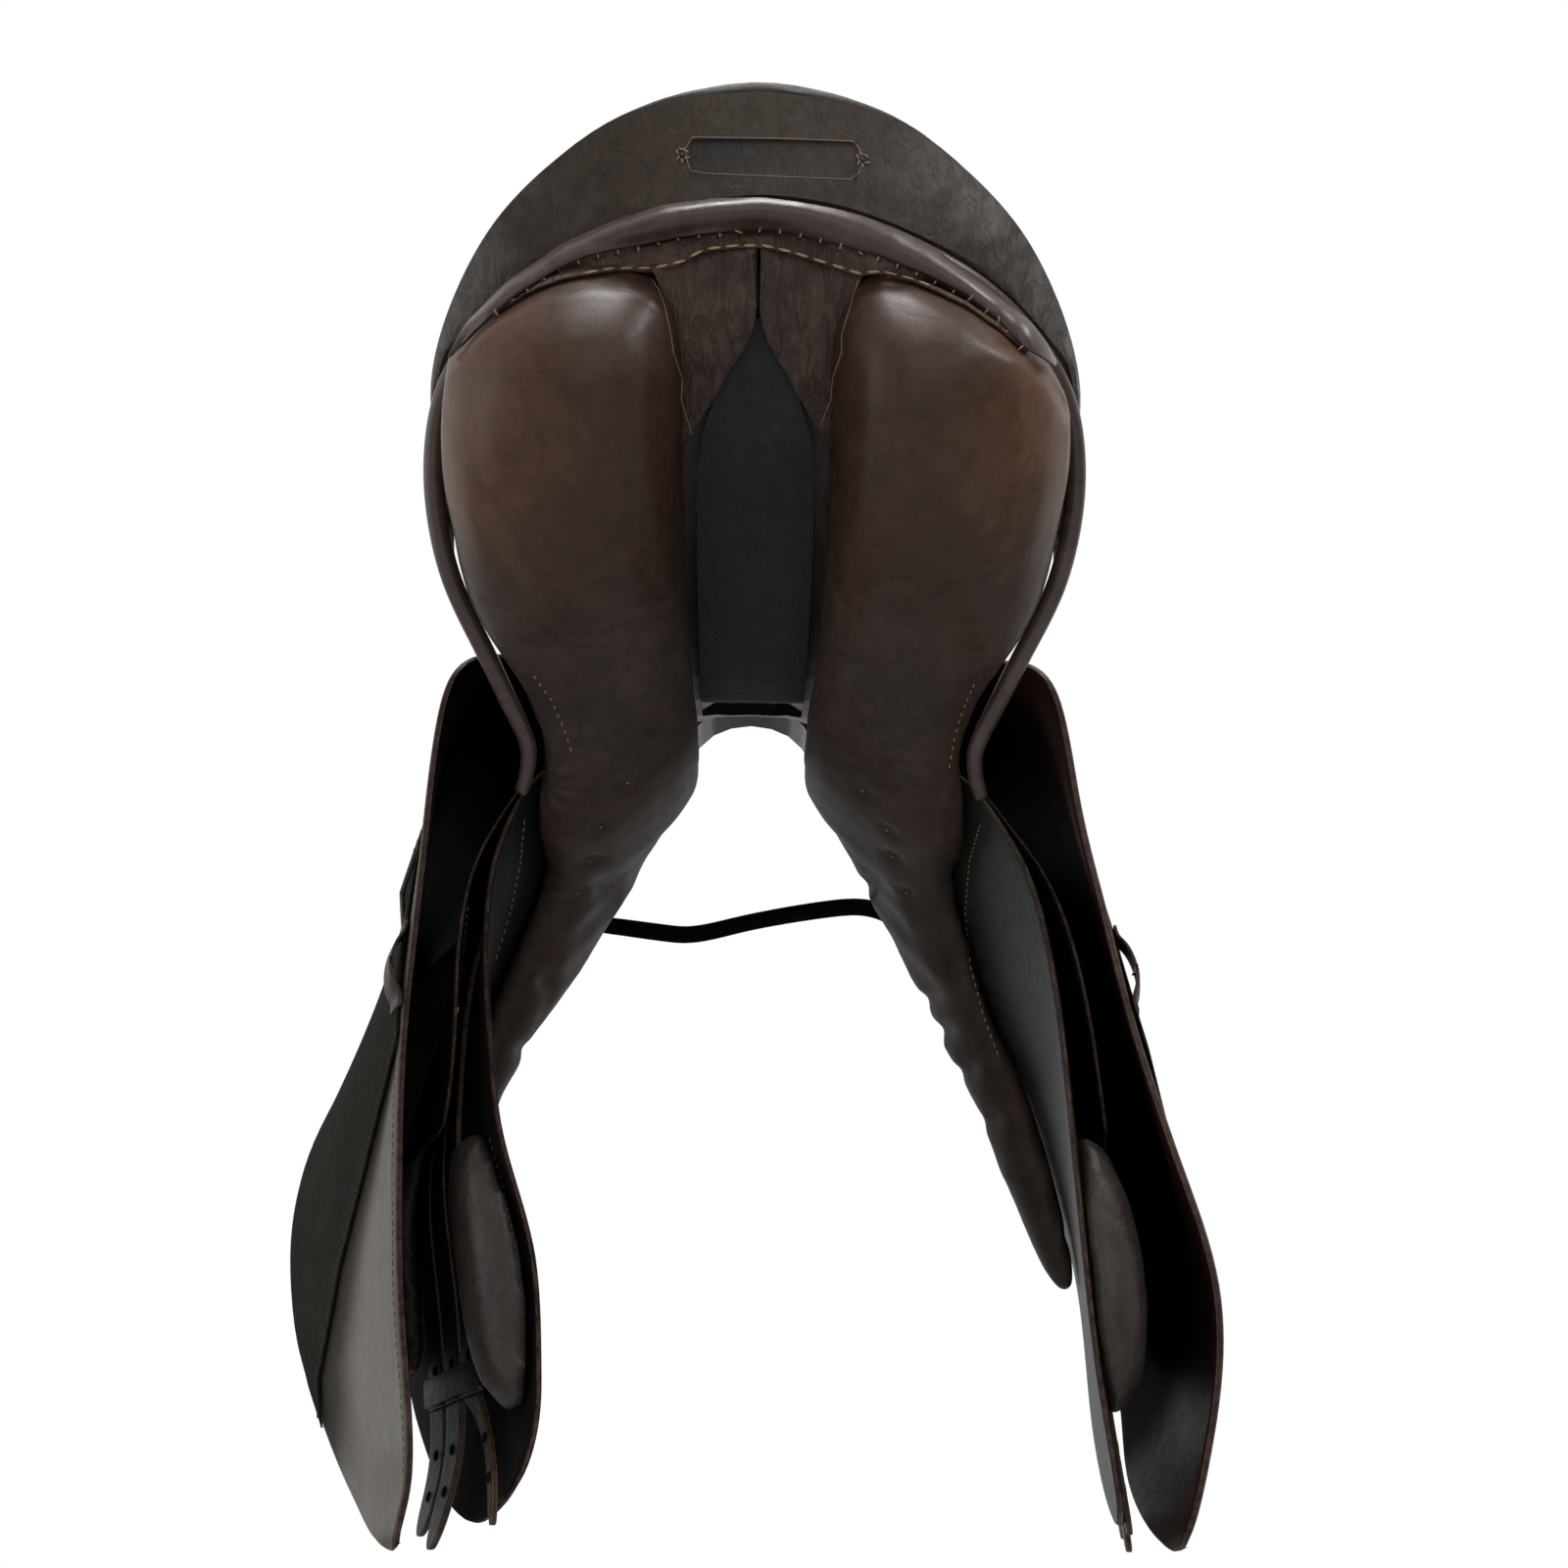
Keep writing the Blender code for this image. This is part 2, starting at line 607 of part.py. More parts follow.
def cut(target, name, shape, crossing=False):
    """Take a hidden shape away from an object; crossing allows for folds in either."""
    cutter = make(name, *shape, steel())
    cutter.hide_render = True
    cutter.display_type = "WIRE"
    tool = target.modifiers.new(name, "BOOLEAN")
    tool.operation = "DIFFERENCE"
    tool.solver = "EXACT"
    tool.use_self = crossing
    tool.object = cutter


def word(side):
    return "right" if side > 0 else "left"


# Seat and tree


def row_places():
    """Rows of the grid that every seat layer shares, closer together at the cantle's rim."""
    return [(k / (SEAT_ROWS - 1)) ** 1.12 for k in range(SEAT_ROWS)]


def inner_half(u):
    """Half width of the layers inside the cover, kept inside the cantle's sloping back."""
    y, half = seat_row(u)[:2]
    width = half - min(INSET_SIDE, half * 0.4)
    if y < BACK_END_Y:
        for _ in range(16):
            width = (width + min(width, back_width(y, tree_bottom(width, y)))) / 2
    return width


def back_width(y, z):
    """Half width inside the cantle's back at a height and distance from the rim."""
    place = find(lambda p: back_at_height(p, z, INSET_BACK)[1], y, 0.0, BACK_PLACES[-1])
    return max(back_at_height(place, z, INSET_BACK)[0], 5.0)


def layer(top, bottom, rows, columns):
    """Sheet on the shared grid, its upper and lower depths below the seat given by functions."""
    upper = []
    lower = []
    for k in rows:
        u = row_places()[k]
        y = seat_row(u)[0]
        half = inner_half(u)
        shares = [half * share for share in INNER_SHARES[:columns]]
        xs = [-x for x in reversed(shares)] + [0.0] + shares
        upper.append([(x, y, seat_z(x, y) - top(x, y)) for x in xs])
        lower.append([(x, y, seat_z(x, y) - bottom(x, y)) for x in xs])
    return slab(upper, lower)


def inner_rows(last_y):
    """Rows from just inside the rim to the last one before a given y."""
    places = row_places()
    return [k for k in range(FIRST_INNER_ROW, SEAT_ROWS) if seat_row(places[k])[0] < last_y]


def cover_edge_t(y):
    return cubic([(0, COVER_RIM_T), (150, COVER_RIM_T), (200, COVER_EDGE_T), (446, COVER_EDGE_T),
                  (482, 4.0)], y)


def seat_cover():
    """Seat leather, thicker where its edge is turned down round the tree."""
    upper = []
    lower = []
    for k, u in enumerate(row_places()):
        y, half = seat_row(u)[:2]
        inner = inner_half(u)
        turned = inner + (half - inner) * 0.2
        shares = [(inner * share, COVER_T) for share in INNER_SHARES]
        shares += [(turned, cover_edge_t(y)), (half, cover_edge_t(y))]
        row = [(-x, t) for x, t in reversed(shares)] + [(0.0, COVER_T)] + shares
        if k < FIRST_INNER_ROW - 1:
            row = [(x, COVER_RIM_T) for x, _ in row]
        upper.append([(x, y, seat_z(x, y)) for x, t in row])
        lower.append([(x, y, seat_z(x, y) - t) for x, t in row])
    make("seat_cover", *slab(upper, lower), dark_leather())


def seat_foam():
    shape = layer(lambda x, y: COVER_T + GAP, foam_drop, inner_rows(HEAD_Y[1]), len(INNER_SHARES))
    make("seat_foam", *shape, foam())


def seat_webbing():
    """Web stretched from head to cantle over the tree's opening."""
    shape = layer(web_drop, lambda x, y: web_drop(x, y) + WEB_T, inner_rows(TREE_FRONT - 8.0), WEB_SHARES)
    make("seat_webbing", *shape, web())


def web_drop(x, y):
    return tree_top_drop(x, y) - WEB_T - GAP


def tree():
    """Side rails and cantle in one shell, open in the middle under the rider."""
    shape = layer(tree_top_drop, lambda x, y: tree_top_drop(x, y) + TREE_T, inner_rows(TREE_FRONT),
                  len(INNER_SHARES))
    rails = make("tree", *shape, beech())
    rows = []
    for y, half in ((TREE_OPENING[0], 12.0), (TREE_OPENING[0] + 22.0, TREE_OPENING_HALF),
                    (TREE_OPENING[1] - 18.0, TREE_OPENING_HALF), (TREE_OPENING[1], 14.0)):
        rows.append([(-half, y), (half, y)])
    upper = [[(x, y, 90.0) for x, y in row] for row in rows]
    lower = [[(x, y, -90.0) for x, y in row] for row in rows]
    cut(rails, "tree_opening_cutter", slab(upper, lower))


def tree_springs():
    """Spring steel along the underside of each rail, spreading out towards the cantle."""
    places = row_places()
    inner, outer = INNER_SHARES[1:3]
    for side in (-1, 1):
        upper = []
        lower = []
        for k in inner_rows(TREE_FRONT):
            y = seat_row(places[k])[0]
            if y < SPRING_REAR:
                continue
            half = inner_half(places[k])
            ends = [tree_bottom(half * share, y) - SPRING_GAP for share in (inner, outer)]
            above = []
            for share in (0.6, 0.74):
                z = ends[0] + (ends[1] - ends[0]) * (share - inner) / (outer - inner)
                above.append((side * half * share, y, z))
            upper.append(above)
            lower.append([(x, y, z - SPRING_T) for x, y, z in above])
        make(f"tree_spring_{word(side)}", *slab(upper, lower), steel())


def arch_band(inner, thickness, y_range, last=ARCH_STEPS):
    """Band bent over the head arch, from one leg to the other, to the given step down each leg."""
    upper = []
    lower = []
    for step in range(-last, last + 1):
        side = -1 if step < 0 else 1
        t = abs(step) / ARCH_STEPS
        outer_x, outer_z = arch_point(t, inner + thickness)
        inner_x, inner_z = arch_point(t, inner)
        upper.append([(side * outer_x, y, outer_z) for y in y_range])
        lower.append([(side * inner_x, y, inner_z) for y in y_range])
    return slab(upper, lower)


def head():
    """Wooden head arch, its steel gullet plate below and the leather facing of the arch."""
    make("arch_facing", *arch_band(0.0, FACING_T, FACING_Y, FACING_LAST), strap_leather())
    plate_at = FACING_T + GAP
    make("gullet_plate", *arch_band(plate_at, PLATE_T, PLATE_Y), steel())
    head_at = plate_at + PLATE_T + GAP
    make("head_arch", *arch_band(head_at, HEAD_T, HEAD_Y), beech())


# Cantle back, welt and gullet


def rim_point(place, inset):
    """Cantle rim beside a place on the welt, both counted along the welt's points, drawn in by inset."""
    u = cubic(SEAT_BESIDE_WELT, place) / (len(SEAT_STATIONS) - 1)
    x, y = seat_outline(u, inset)
    if place < 0.6:
        x = x * place / 0.6
    return x, y, seat_z(x, y) - COVER_RIM_T - RIM_GAP


def welt_point(place, inset=0.0):
    x, y, z = along(WELT_PATH, place / (len(WELT_PATH) - 1))
    if not inset:
        return x, y, z
    u = cubic(SEAT_BESIDE_WELT, place) / (len(SEAT_STATIONS) - 1)
    edge = seat_outline(u, 0.0)
    inner = seat_outline(u, 1.0)
    return x + (inner[0] - edge[0]) * inset, y + (inner[1] - edge[1]) * inset, z


def back_point(place, share, inset):
    """Point on the cantle's back, share from 0 at the rim to 1 just above the welt."""
    top = rim_point(place, inset)
    foot = welt_point(place, inset)
    run = unit(minus(welt_point(place + 0.1), welt_point(max(place - 0.1, 0.0))))
    slope = unit(minus(foot, top))
    square = math.sqrt(sum(c * c for c in cross(run, slope)))
    reach = math.dist(top, foot)
    share = share * (1 - (WELT_R + BACK_T) / square / reach)
    return tuple(a + (b - a) * share for a, b in zip(top, foot))


def flip(point, side):
    return (side * point[0], point[1], point[2])


def back_at_height(place, z, inset):
    """Point of the cantle's back at a height, drawn in by inset."""
    top = rim_point(place, inset)
    foot = welt_point(place, inset)
    share = min(max((top[2] - z) / (top[2] - foot[2]), 0.0), 1.3)
    return tuple(a + (b - a) * share for a, b in zip(top, foot))


def both_sides(places):
    """Places along the welt from the left end to the right, as pairs of side and place."""
    return [(-1, p) for p in places[:0:-1]] + [(1, p) for p in places]


def cantle_back():
    """Leather over the back of the cantle, with the bare recess of a name plate."""
    upper = []
    lower = []
    for side, place in both_sides(BACK_PLACES):
        shares = spread(0.0, 1.0, 3)
        upper.append([flip(back_point(place, s, 0.0), side) for s in shares])
        lower.append([flip(back_point(place, s, BACK_T), side) for s in shares])
    leather = make("cantle_back", *slab(upper, lower), dark_leather())
    left, right, low, high = BACK_RECESS
    outer = []
    inner = []
    for x in spread(left, right, 9):
        place = find(lambda p: back_point(p, 0.5, 0.0)[0], abs(x), 0.0, 2.5)
        row = []
        floor = []
        for z in (low, high):
            y = back_at_height(place, z, 0.0)[1]
            row.append((x, y - 4.0, z))
            floor.append((x, y + BACK_RECESS_DEPTH, z))
        outer.append(row)
        inner.append(floor)
    cut(leather, "recess_cutter", slab(outer, inner))


def under_tree(place, inset):
    """Point just below the tree, drawn in from the cantle's back by inset."""
    z = welt_point(place)[2]
    for _ in range(20):
        x, y, _ = back_at_height(place, z, inset)
        z = (z + tree_bottom(x, y) - UNDER_TREE) / 2
    return x, y, z


def cantle_block():
    """Built-up core of the cantle, between the tree and the welt."""
    rings = []
    near = BACK_T + BLOCK_GAP
    for side, place in both_sides(BLOCK_PLACES):
        top = under_tree(place, near)
        middle = under_tree(place, (near + BLOCK_W) / 2)
        deep = under_tree(place, BLOCK_W)
        foot_z = min(welt_point(place)[2] + WELT_R + 2.5, top[2] - 1.0)
        low = min(panel_ceiling(deep[0], deep[1]) + SOFT_GAP, deep[2] - 1.0)
        ring = [top, back_at_height(place, foot_z, near), (deep[0], deep[1], low), deep, middle]
        rings.append([flip(p, side) for p in ring])
    make("cantle_block", *skin(rings), beech())


def welt_line(extra=0.0):
    path = []
    radii = []
    last = WELT_PLACES[-1]
    for side, place in both_sides(WELT_PLACES):
        path.append(flip(welt_point(place), side))
        radii.append(extra + cubic([(0, WELT_R), (9, WELT_R), (last, WELT_END_R)], place))
    return path, radii


def welt():
    path, radii = welt_line()
    make("welt", *tube(path, radii, 8), plum_leather())


def lining_z(y):
    return cubic(LINING_LINE, y)


def gullet_lining():
    """Leaf of lining over the channel between the panels."""
    upper = []
    lower = []
    for y in spread(LINING_LINE[0][0], LINING_LINE[-1][0], 22):
        half = cubic(LINING_LEAF, y)
        row = [half * s for s in (-1.0, -0.5, 0.0, 0.5, 1.0)]
        upper.append([(x, y, lining_z(y) + LINING_T) for x in row])
        lower.append([(x, y, lining_z(y)) for x in row])
    make("gullet_lining", *slab(upper, lower), lining_cloth())


def gussets():
    """Soft leather that joins the two panels at the rear, either side of the middle seam."""
    for side in (-1, 1):
        upper = []
        lower = []
        for t in spread(0.0, 1.0, 10):
            inner = along(GUSSET_INNER, t)
            outer = along(GUSSET_OUTER, t)
            row = []
            for s in (0.0, 0.25, 0.5, 0.75, 1.0):
                x, y, z = (a + (b - a) * s for a, b in zip(inner, outer))
                beside_leaf = cubic(LINING_LEAF, y) + 1.5 if y > LINING_LINE[0][0] - 3.0 else 0.4
                row.append((max(x, beside_leaf), y, z))
            lower.append([flip(p, side) for p in row])
            upper.append([flip(plus(p, (0.0, 0.75, 0.66), GUSSET_T), side) for p in row])
        make(f"rear_gusset_{word(side)}", *slab(upper, lower), brown_leather())


# Panels, sweat flaps and what lies on them


def panel_edge(side, point, stand_off):
    x, y, z = point
    return (sweat_x(side, y, z) - stand_off if x is None else x), y, z


def panel_ring(side, place):
    """One section of the panel, place counted along its stations."""
    last = len(PANEL_STATIONS) - 1
    fronts = []
    for medial, lateral, crown, back in PANEL_STATIONS:
        fronts.append(panel_edge(side, medial, PANEL_FRONT_OFF)
                      + panel_edge(side, lateral, PANEL_REAR_OFF) + (crown, back))
    row = along(fronts, place / last)
    medial = row[0:3]
    lateral = row[3:6]
    ahead = along(fronts, min(place + 0.3, last) / last)
    behind = along(fronts, max(place - 0.3, 0) / last)
    tangent = unit([ahead[k] + ahead[k + 3] - behind[k] - behind[k + 3] for k in range(3)])
    across = unit(minus(lateral, medial))
    down = unit(cross(tangent, across))
    crown, back = row[6:8]
    for channel in CHANNELS:
        crown *= 1 - CHANNEL_DEPTH * math.exp(-((place - channel) / CHANNEL_WIDTH) ** 2)
    half = math.dist(medial, lateral) / 2
    middle = tuple((a + b) / 2 for a, b in zip(medial, lateral))
    ring = []
    for k in range(PANEL_SIDES):
        angle = 2 * math.pi * k / PANEL_SIDES
        c = math.cos(angle)
        s = math.sin(angle)
        reach = half * math.copysign(abs(c) ** PANEL_FULLNESS, c)
        depth = math.copysign(abs(s) ** PANEL_FULLNESS, s) * (crown if s > 0 else back)
        point = plus(plus(middle, across, reach), down, depth)
        ring.append(panel_limits(side, point))
    return ring


def held(value, limit, upper):
    """Value kept at its limit, with a trace of its excess so that points stay apart."""
    past = value > limit if upper else value < limit
    return limit + (value - limit) * LIMIT_GIVE if past else value


def panel_limits(side, point):
    """Keep a point of the panel below the tree and inside the sweat flap's surface."""
    x, y, z = point
    if y > 225 and z < cubic([(225, -85), (300, -50)], y):
        x = held(x, sweat_x(side, y, z) - SWEAT_T / 2 - BESIDE_SWEAT[side], True)
    if y < 440 and z > -120:
        z = held(z, panel_ceiling(x, y), True)
    if y < 400:
        x = held(x, cubic(LINING_LEAF, y) + BESIDE_LEAF, False)
    return x, y, z


def panels():
    for side in (-1, 1):
        last = len(PANEL_STATIONS) - 1
        rings = [panel_ring(side, p) for p in spread(0.0, last, PANEL_RINGS)]
        rings = [[flip(p, side) for p in ring] for ring in rings]
        panel = make(f"panel_{word(side)}", *skin(rings), brown_leather())
        path, radii = welt_line(WELT_GROOVE)
        cut(panel, f"welt_groove_{word(side)}", tube(path, radii, 8), crossing=True)


def sweat_sheet(side, levels, rear_y, front_y, columns, inner, outer):
    """Sheet standing off the sweat flap's middle, from inner to outer, over the given heights."""
    upper = []
    lower = []
    for z in levels:
        row = [rear_y(z) + (front_y(z) - rear_y(z)) * k / (columns - 1) for k in range(columns)]
        upper.append([flip((sweat_x(side, y, z) + outer, y, z), side) for y in row])
        lower.append([flip((sweat_x(side, y, z) + inner, y, z), side) for y in row])
    return slab(upper, lower)


def levels_between(low, high):
    return [high] + [z for z in SWEAT_LEVELS if low < z < high] + [low]


def sweat_flaps():
    for side in (-1, 1):
        shape = sweat_sheet(side, SWEAT_LEVELS, lambda z: cubic(SWEAT_REAR_Y, z),
                            lambda z: cubic(SWEAT_FRONT_Y, z), 9, -SWEAT_T / 2, SWEAT_T / 2)
        make(f"sweat_flap_{word(side)}", *shape, dark_leather())


def block(side, y_range, z_range, height, columns=9):
    """Padded block on the outer face of the sweat flap."""
    upper = []
    lower = []
    base = SWEAT_T / 2 + BLOCK_GAP
    middle = (y_range[0] + y_range[1]) / 2
    low, high = z_range
    for z in levels_between(low, high):
        swell = math.sin(math.pi * (high - z) / (high - low))
        swell = max(swell, 0.0)
        half = (y_range[1] - y_range[0]) / 2 * (0.4 + 0.6 * swell ** 0.45)
        above = []
        below = []
        for a in spread(-1.0, 1.0, columns):
            y = middle + half * a
            crown = max(1 - a * a, 0.0) ** 0.45
            lift = 2.0 + (height - 2.0) * crown * (0.12 + 0.88 * swell ** 0.5)
            x = sweat_x(side, y, z) + base
            room = flap_hang_x(side, y, z) - FLAP_T / 2 - BLOCK_CLEAR - x
            lift = min(lift, max(room, 1.5))
            above.append(flip((x + lift, y, z), side))
            below.append(flip((x, y, z), side))
        upper.append(above)
        lower.append(below)
    return slab(upper, lower)


def blocks():
    for side in (-1, 1):
        make(f"knee_block_{word(side)}", *block(side, *KNEE_BLOCK), brown_leather())
        make(f"thigh_block_{word(side)}", *block(side, *THIGH_BLOCK), plum_leather())


def billet_inner():
    return SWEAT_T / 2 + BILLET_OFF


def billets():
    """Three girth straps on each side, fixed down to the keeper, their tails hinged below it."""
    inner = billet_inner()
    outer = inner + BILLET_T
    levels = spread(BILLET_TOP, -84.0, 5) + levels_between(BILLET_HINGE + 0.2, -92)
    for side in (-1, 1):
        for k, middle in enumerate(BILLET_Y):
            rear = middle - BILLET_W / 2
            front = middle + BILLET_W / 2
            shape = sweat_sheet(side, levels, lambda z, e=rear: e, lambda z, e=front: e, 2, inner, outer)
            make(f"billet_strap_{word(side)}_{k + 1}", *shape, strap_leather())
            make(f"billet_tail_{word(side)}_{k + 1}", *tail(side, k, middle), plum_leather(),
                 tail_hinge(side, middle))


def tail_hinge(side, middle):
    x = sweat_x(side, middle, BILLET_HINGE) + billet_inner() + BILLET_T / 2
    return flip((x, middle, BILLET_HINGE), side)


def tail(side, index, middle):
    """Pointed end of a strap below its keeper, slanting to the rear by its own angle."""
    slant = math.tan(math.radians(TAIL_SLANT[side][index]))
    end = TAIL_END[index]
    top = BILLET_HINGE - TAIL_GAP
    length = top - end
    upper = []
    lower = []
    for share, narrow in ((0.0, 1.0), (0.2, 1.0), (0.4, 1.0), (0.6, 1.0), (0.8, 1.0), (0.93, 0.72),
                          (1.0, 0.3)):
        z = top - length * share
        centre = middle - slant * length * share
        above = []
        below = []
        for a in (-1.0, 0.0, 1.0):
            y = centre + a * narrow * BILLET_W / 2
            level = z + a * narrow * slant * BILLET_W / 2 * min(share * 4.0, 1.0) * 0.6
            x = sweat_x(side, y, level) + billet_inner()
            below.append(flip((x, y, level), side))
            above.append(flip((x + BILLET_T, y, level), side))
        upper.append(above)
        lower.append(below)
    return slab(upper, lower)


def billet_keepers():
    """Flat loop across the three straps, stitched down at both ends."""
    base = SWEAT_T / 2 + 0.5
    clear = BILLET_OFF + BILLET_T
    rear = BILLET_Y[0] - BILLET_W / 2
    front = BILLET_Y[-1] + BILLET_W / 2
    inner = [(rear - 9.5, 0.0), (rear - 3.0, 0.0), (rear - 1.2, clear), (front + 1.2, clear),
             (front + 3.0, 0.0), (front + 9.0, 0.0)]
    outer = [(rear - 9.5, KEEPER_T), (rear - 4.4, KEEPER_T), (rear - 2.6, clear + KEEPER_T),
             (front + 2.6, clear + KEEPER_T), (front + 4.4, KEEPER_T), (front + 9.0, KEEPER_T)]
    for side in (-1, 1):
        upper = []
        lower = []
        for z in KEEPER_Z:
            upper.append([flip((sweat_x(side, y, z) + base + off, y, z), side) for y, off in outer])
            lower.append([flip((sweat_x(side, y, z) + base + off, y, z), side) for y, off in inner])
        make(f"billet_keeper_{word(side)}", *slab(upper, lower), plum_leather())


def billet_guards():
    """Plain leather guard over the straps, hanging clear of them towards its lower edge."""
    start = billet_inner() + BILLET_T + 0.6
    low, high = GUARD_Z
    for side in (-1, 1):
        upper = []
        lower = []
        for z in levels_between(low, high):
            fall = (high - z) / (high - low)
            rear = 262.0 - 10.0 * math.sin(math.pi * min(fall * 0.9, 1.0)) + 26.0 * fall ** 6
            front = 392.0 - 16.0 * fall ** 6
            off = start + 11.0 * fall
            above = []
            below = []
            for y in spread(rear, front, 6):
                x = sweat_x(side, y, z) + off
                below.append(flip((x, y, z), side))
                above.append(flip((x + GUARD_T, y, z), side))
            upper.append(above)
            lower.append(below)
        make(f"billet_guard_{word(side)}", *slab(upper, lower), dark_leather())


# Outer flaps and skirts


def flap_normal(side, y, drop):
    """Outward direction in x and z, square to the flap's profile."""
    ahead = flap_point(side, y, min(drop + 1.0, FLAP_DROP))
    behind = flap_point(side, y, max(drop - 1.0, 0.0))
    dx = ahead[0] - behind[0]
    dz = ahead[2] - behind[2]
    length = math.hypot(dx, dz)
    return -dz / length, dx / length


def flap_hinge(side):
    return (side * FLAP_HINGE[0], 370.0, FLAP_HINGE[1])


def flaps():
    for side in (-1, 1):
        upper = []
        lower = []
        for row in FLAP_ROWS:
            drop = row * FLAP_DROP
            rear = cubic(FLAP_REAR_Y, row)
            front = cubic(FLAP_FRONT_Y, row)
            half = cubic([(0, FLAP_HINGE_T), (24, FLAP_T), (600, FLAP_T)], drop) / 2
            above = []
            below = []
            for y in spread(rear, front, 8):
                x, _, z = flap_point(side, y, drop)
                nx, nz = flap_normal(side, y, drop)
                above.append(flip((x + nx * half, y, z + nz * half), side))
                below.append(flip((x - nx * half, y, z - nz * half), side))
            upper.append(above)
            lower.append(below)
        flap = make(f"flap_{word(side)}", *slab(upper, lower), dark_leather(), flap_hinge(side))
        start = (side * FLAP_HINGE[0], NOTCH_Y[0], FLAP_HINGE[1])
        notch = cylinder(start, (0.0, 1.0, 0.0), NOTCH_R, NOTCH_Y[1] - NOTCH_Y[0], 24)
        cut(flap, f"bar_notch_{word(side)}", notch)


def flap_top_strips():
    """Nailed top edge of the flap, along the tree's rail."""
    x_range = (SEAT_STATIONS[12][1] + 0.4, FLAP_HINGE[0] - FLAP_HINGE_T / 2 - 0.4)
    z_range = (FLAP_HINGE[1] - 5.0, FLAP_HINGE[1] + 1.0)
    for side in (-1, 1):
        strip = box([side * x for x in x_range], TOP_STRIP_Y, z_range)
        make(f"flap_top_strip_{word(side)}", *strip, plum_leather())


def flap_face(side, y, drop, off):
    """Point standing off the outer face of the flap."""
    x, _, z = flap_point(side, y, drop)
    nx, nz = flap_normal(side, y, drop)
    reach = FLAP_T / 2 + off
    return flip((x + nx * reach, y, z + nz * reach), side)


def grip_patches():
    """Pebbled grip leather sewn over the front of the outer flap."""
    for side in (-1, 1):
        upper = []
        lower = []
        for row in FLAP_ROWS[9:22]:
            drop = row * FLAP_DROP
            across = spread(cubic(PATCH_REAR_Y, row), cubic(FLAP_FRONT_Y, row) - PATCH_FRONT_INSET, 5)
            upper.append([flap_face(side, y, drop, PATCH_GAP + PATCH_T) for y in across])
            lower.append([flap_face(side, y, drop, PATCH_GAP) for y in across])
        make(f"grip_patch_{word(side)}", *slab(upper, lower), grip_leather(), flap_hinge(side))


def stirrup_keepers():
    """Upright loop on the outer flap that takes the end of the stirrup leather."""
    for side in (-1, 1):
        upper = []
        lower = []
        for drop, off in ((171, PATCH_GAP), (179, PATCH_GAP), (183, 5.0), (192, 7.5), (201, 8.2), (210, 7.5),
                          (219, 5.0), (223, PATCH_GAP), (231, PATCH_GAP)):
            row = (236.0, 252.0)
            upper.append([flap_face(side, y, drop, off + 2.0) for y in row])
            lower.append([flap_face(side, y, drop, off) for y in row])
        make(f"stirrup_keeper_{word(side)}", *slab(upper, lower), plum_leather(), flap_hinge(side))


def skirt_point(side, y, t):
    end_z = -150.0
    end_x = flap_hang_x(side, y, end_z) + FLAP_T / 2 + SKIRT_STAND_OFF
    points = [SKIRT_HINGE, (106.0, -25.5), (157.0, -36.0), (end_x, end_z)]
    weights = ((1 - t) ** 3, 3 * t * (1 - t) ** 2, 3 * t * t * (1 - t), t ** 3)
    x = sum(w * p[0] for w, p in zip(weights, points))
    z = sum(w * p[1] for w, p in zip(weights, points))
    return x, z


def skirt_hinge(side):
    return (side * SKIRT_HINGE[0], 370.0, SKIRT_HINGE[1])


def skirts():
    """Small flap over the stirrup bar, hinged just outside the seat's edge."""
    for side in (-1, 1):
        upper = []
        lower = []
        for t in (0.0, 0.06, 0.13, 0.22, 0.32, 0.42, 0.52, 0.62, 0.72, 0.82, 0.9, 0.96, 1.0):
            rear = cubic([(0, 298), (0.12, 288), (0.35, 276), (0.7, 272), (0.88, 284), (1.0, 312)], t)
            front = cubic([(0, 446), (0.2, 450), (0.7, 450), (0.88, 440), (1.0, 412)], t)
            half = cubic([(0, SKIRT_HINGE_T), (0.15, SKIRT_T), (1.0, SKIRT_T)], t) / 2
            above = []
            below = []
            for y in spread(rear, front, 8):
                x, z = skirt_point(side, y, t)
                near = skirt_point(side, y, max(t - 0.01, 0.0))
                far = skirt_point(side, y, min(t + 0.01, 1.0))
                length = math.hypot(far[0] - near[0], far[1] - near[1])
                nx = -(far[1] - near[1]) / length
                nz = (far[0] - near[0]) / length
                above.append(flip((x + nx * half, y, z + nz * half), side))
                below.append(flip((x - nx * half, y, z - nz * half), side))
            upper.append(above)
            lower.append(below)
        make(f"skirt_{word(side)}", *slab(upper, lower), dark_leather(), skirt_hinge(side))


# Steel fittings and grab strap


def prism(outline, low, high):
    """Upright body over an outline of x and y points."""
    count = len(outline)
    vertices = [(x, y, low) for x, y in outline] + [(x, y, high) for x, y in outline]
    faces = [tuple(range(count)), tuple(range(2 * count - 1, count - 1, -1))]
    for k in range(count):
        n = (k + 1) % count
        faces.append((k, n, count + n, count + k))
    return vertices, faces


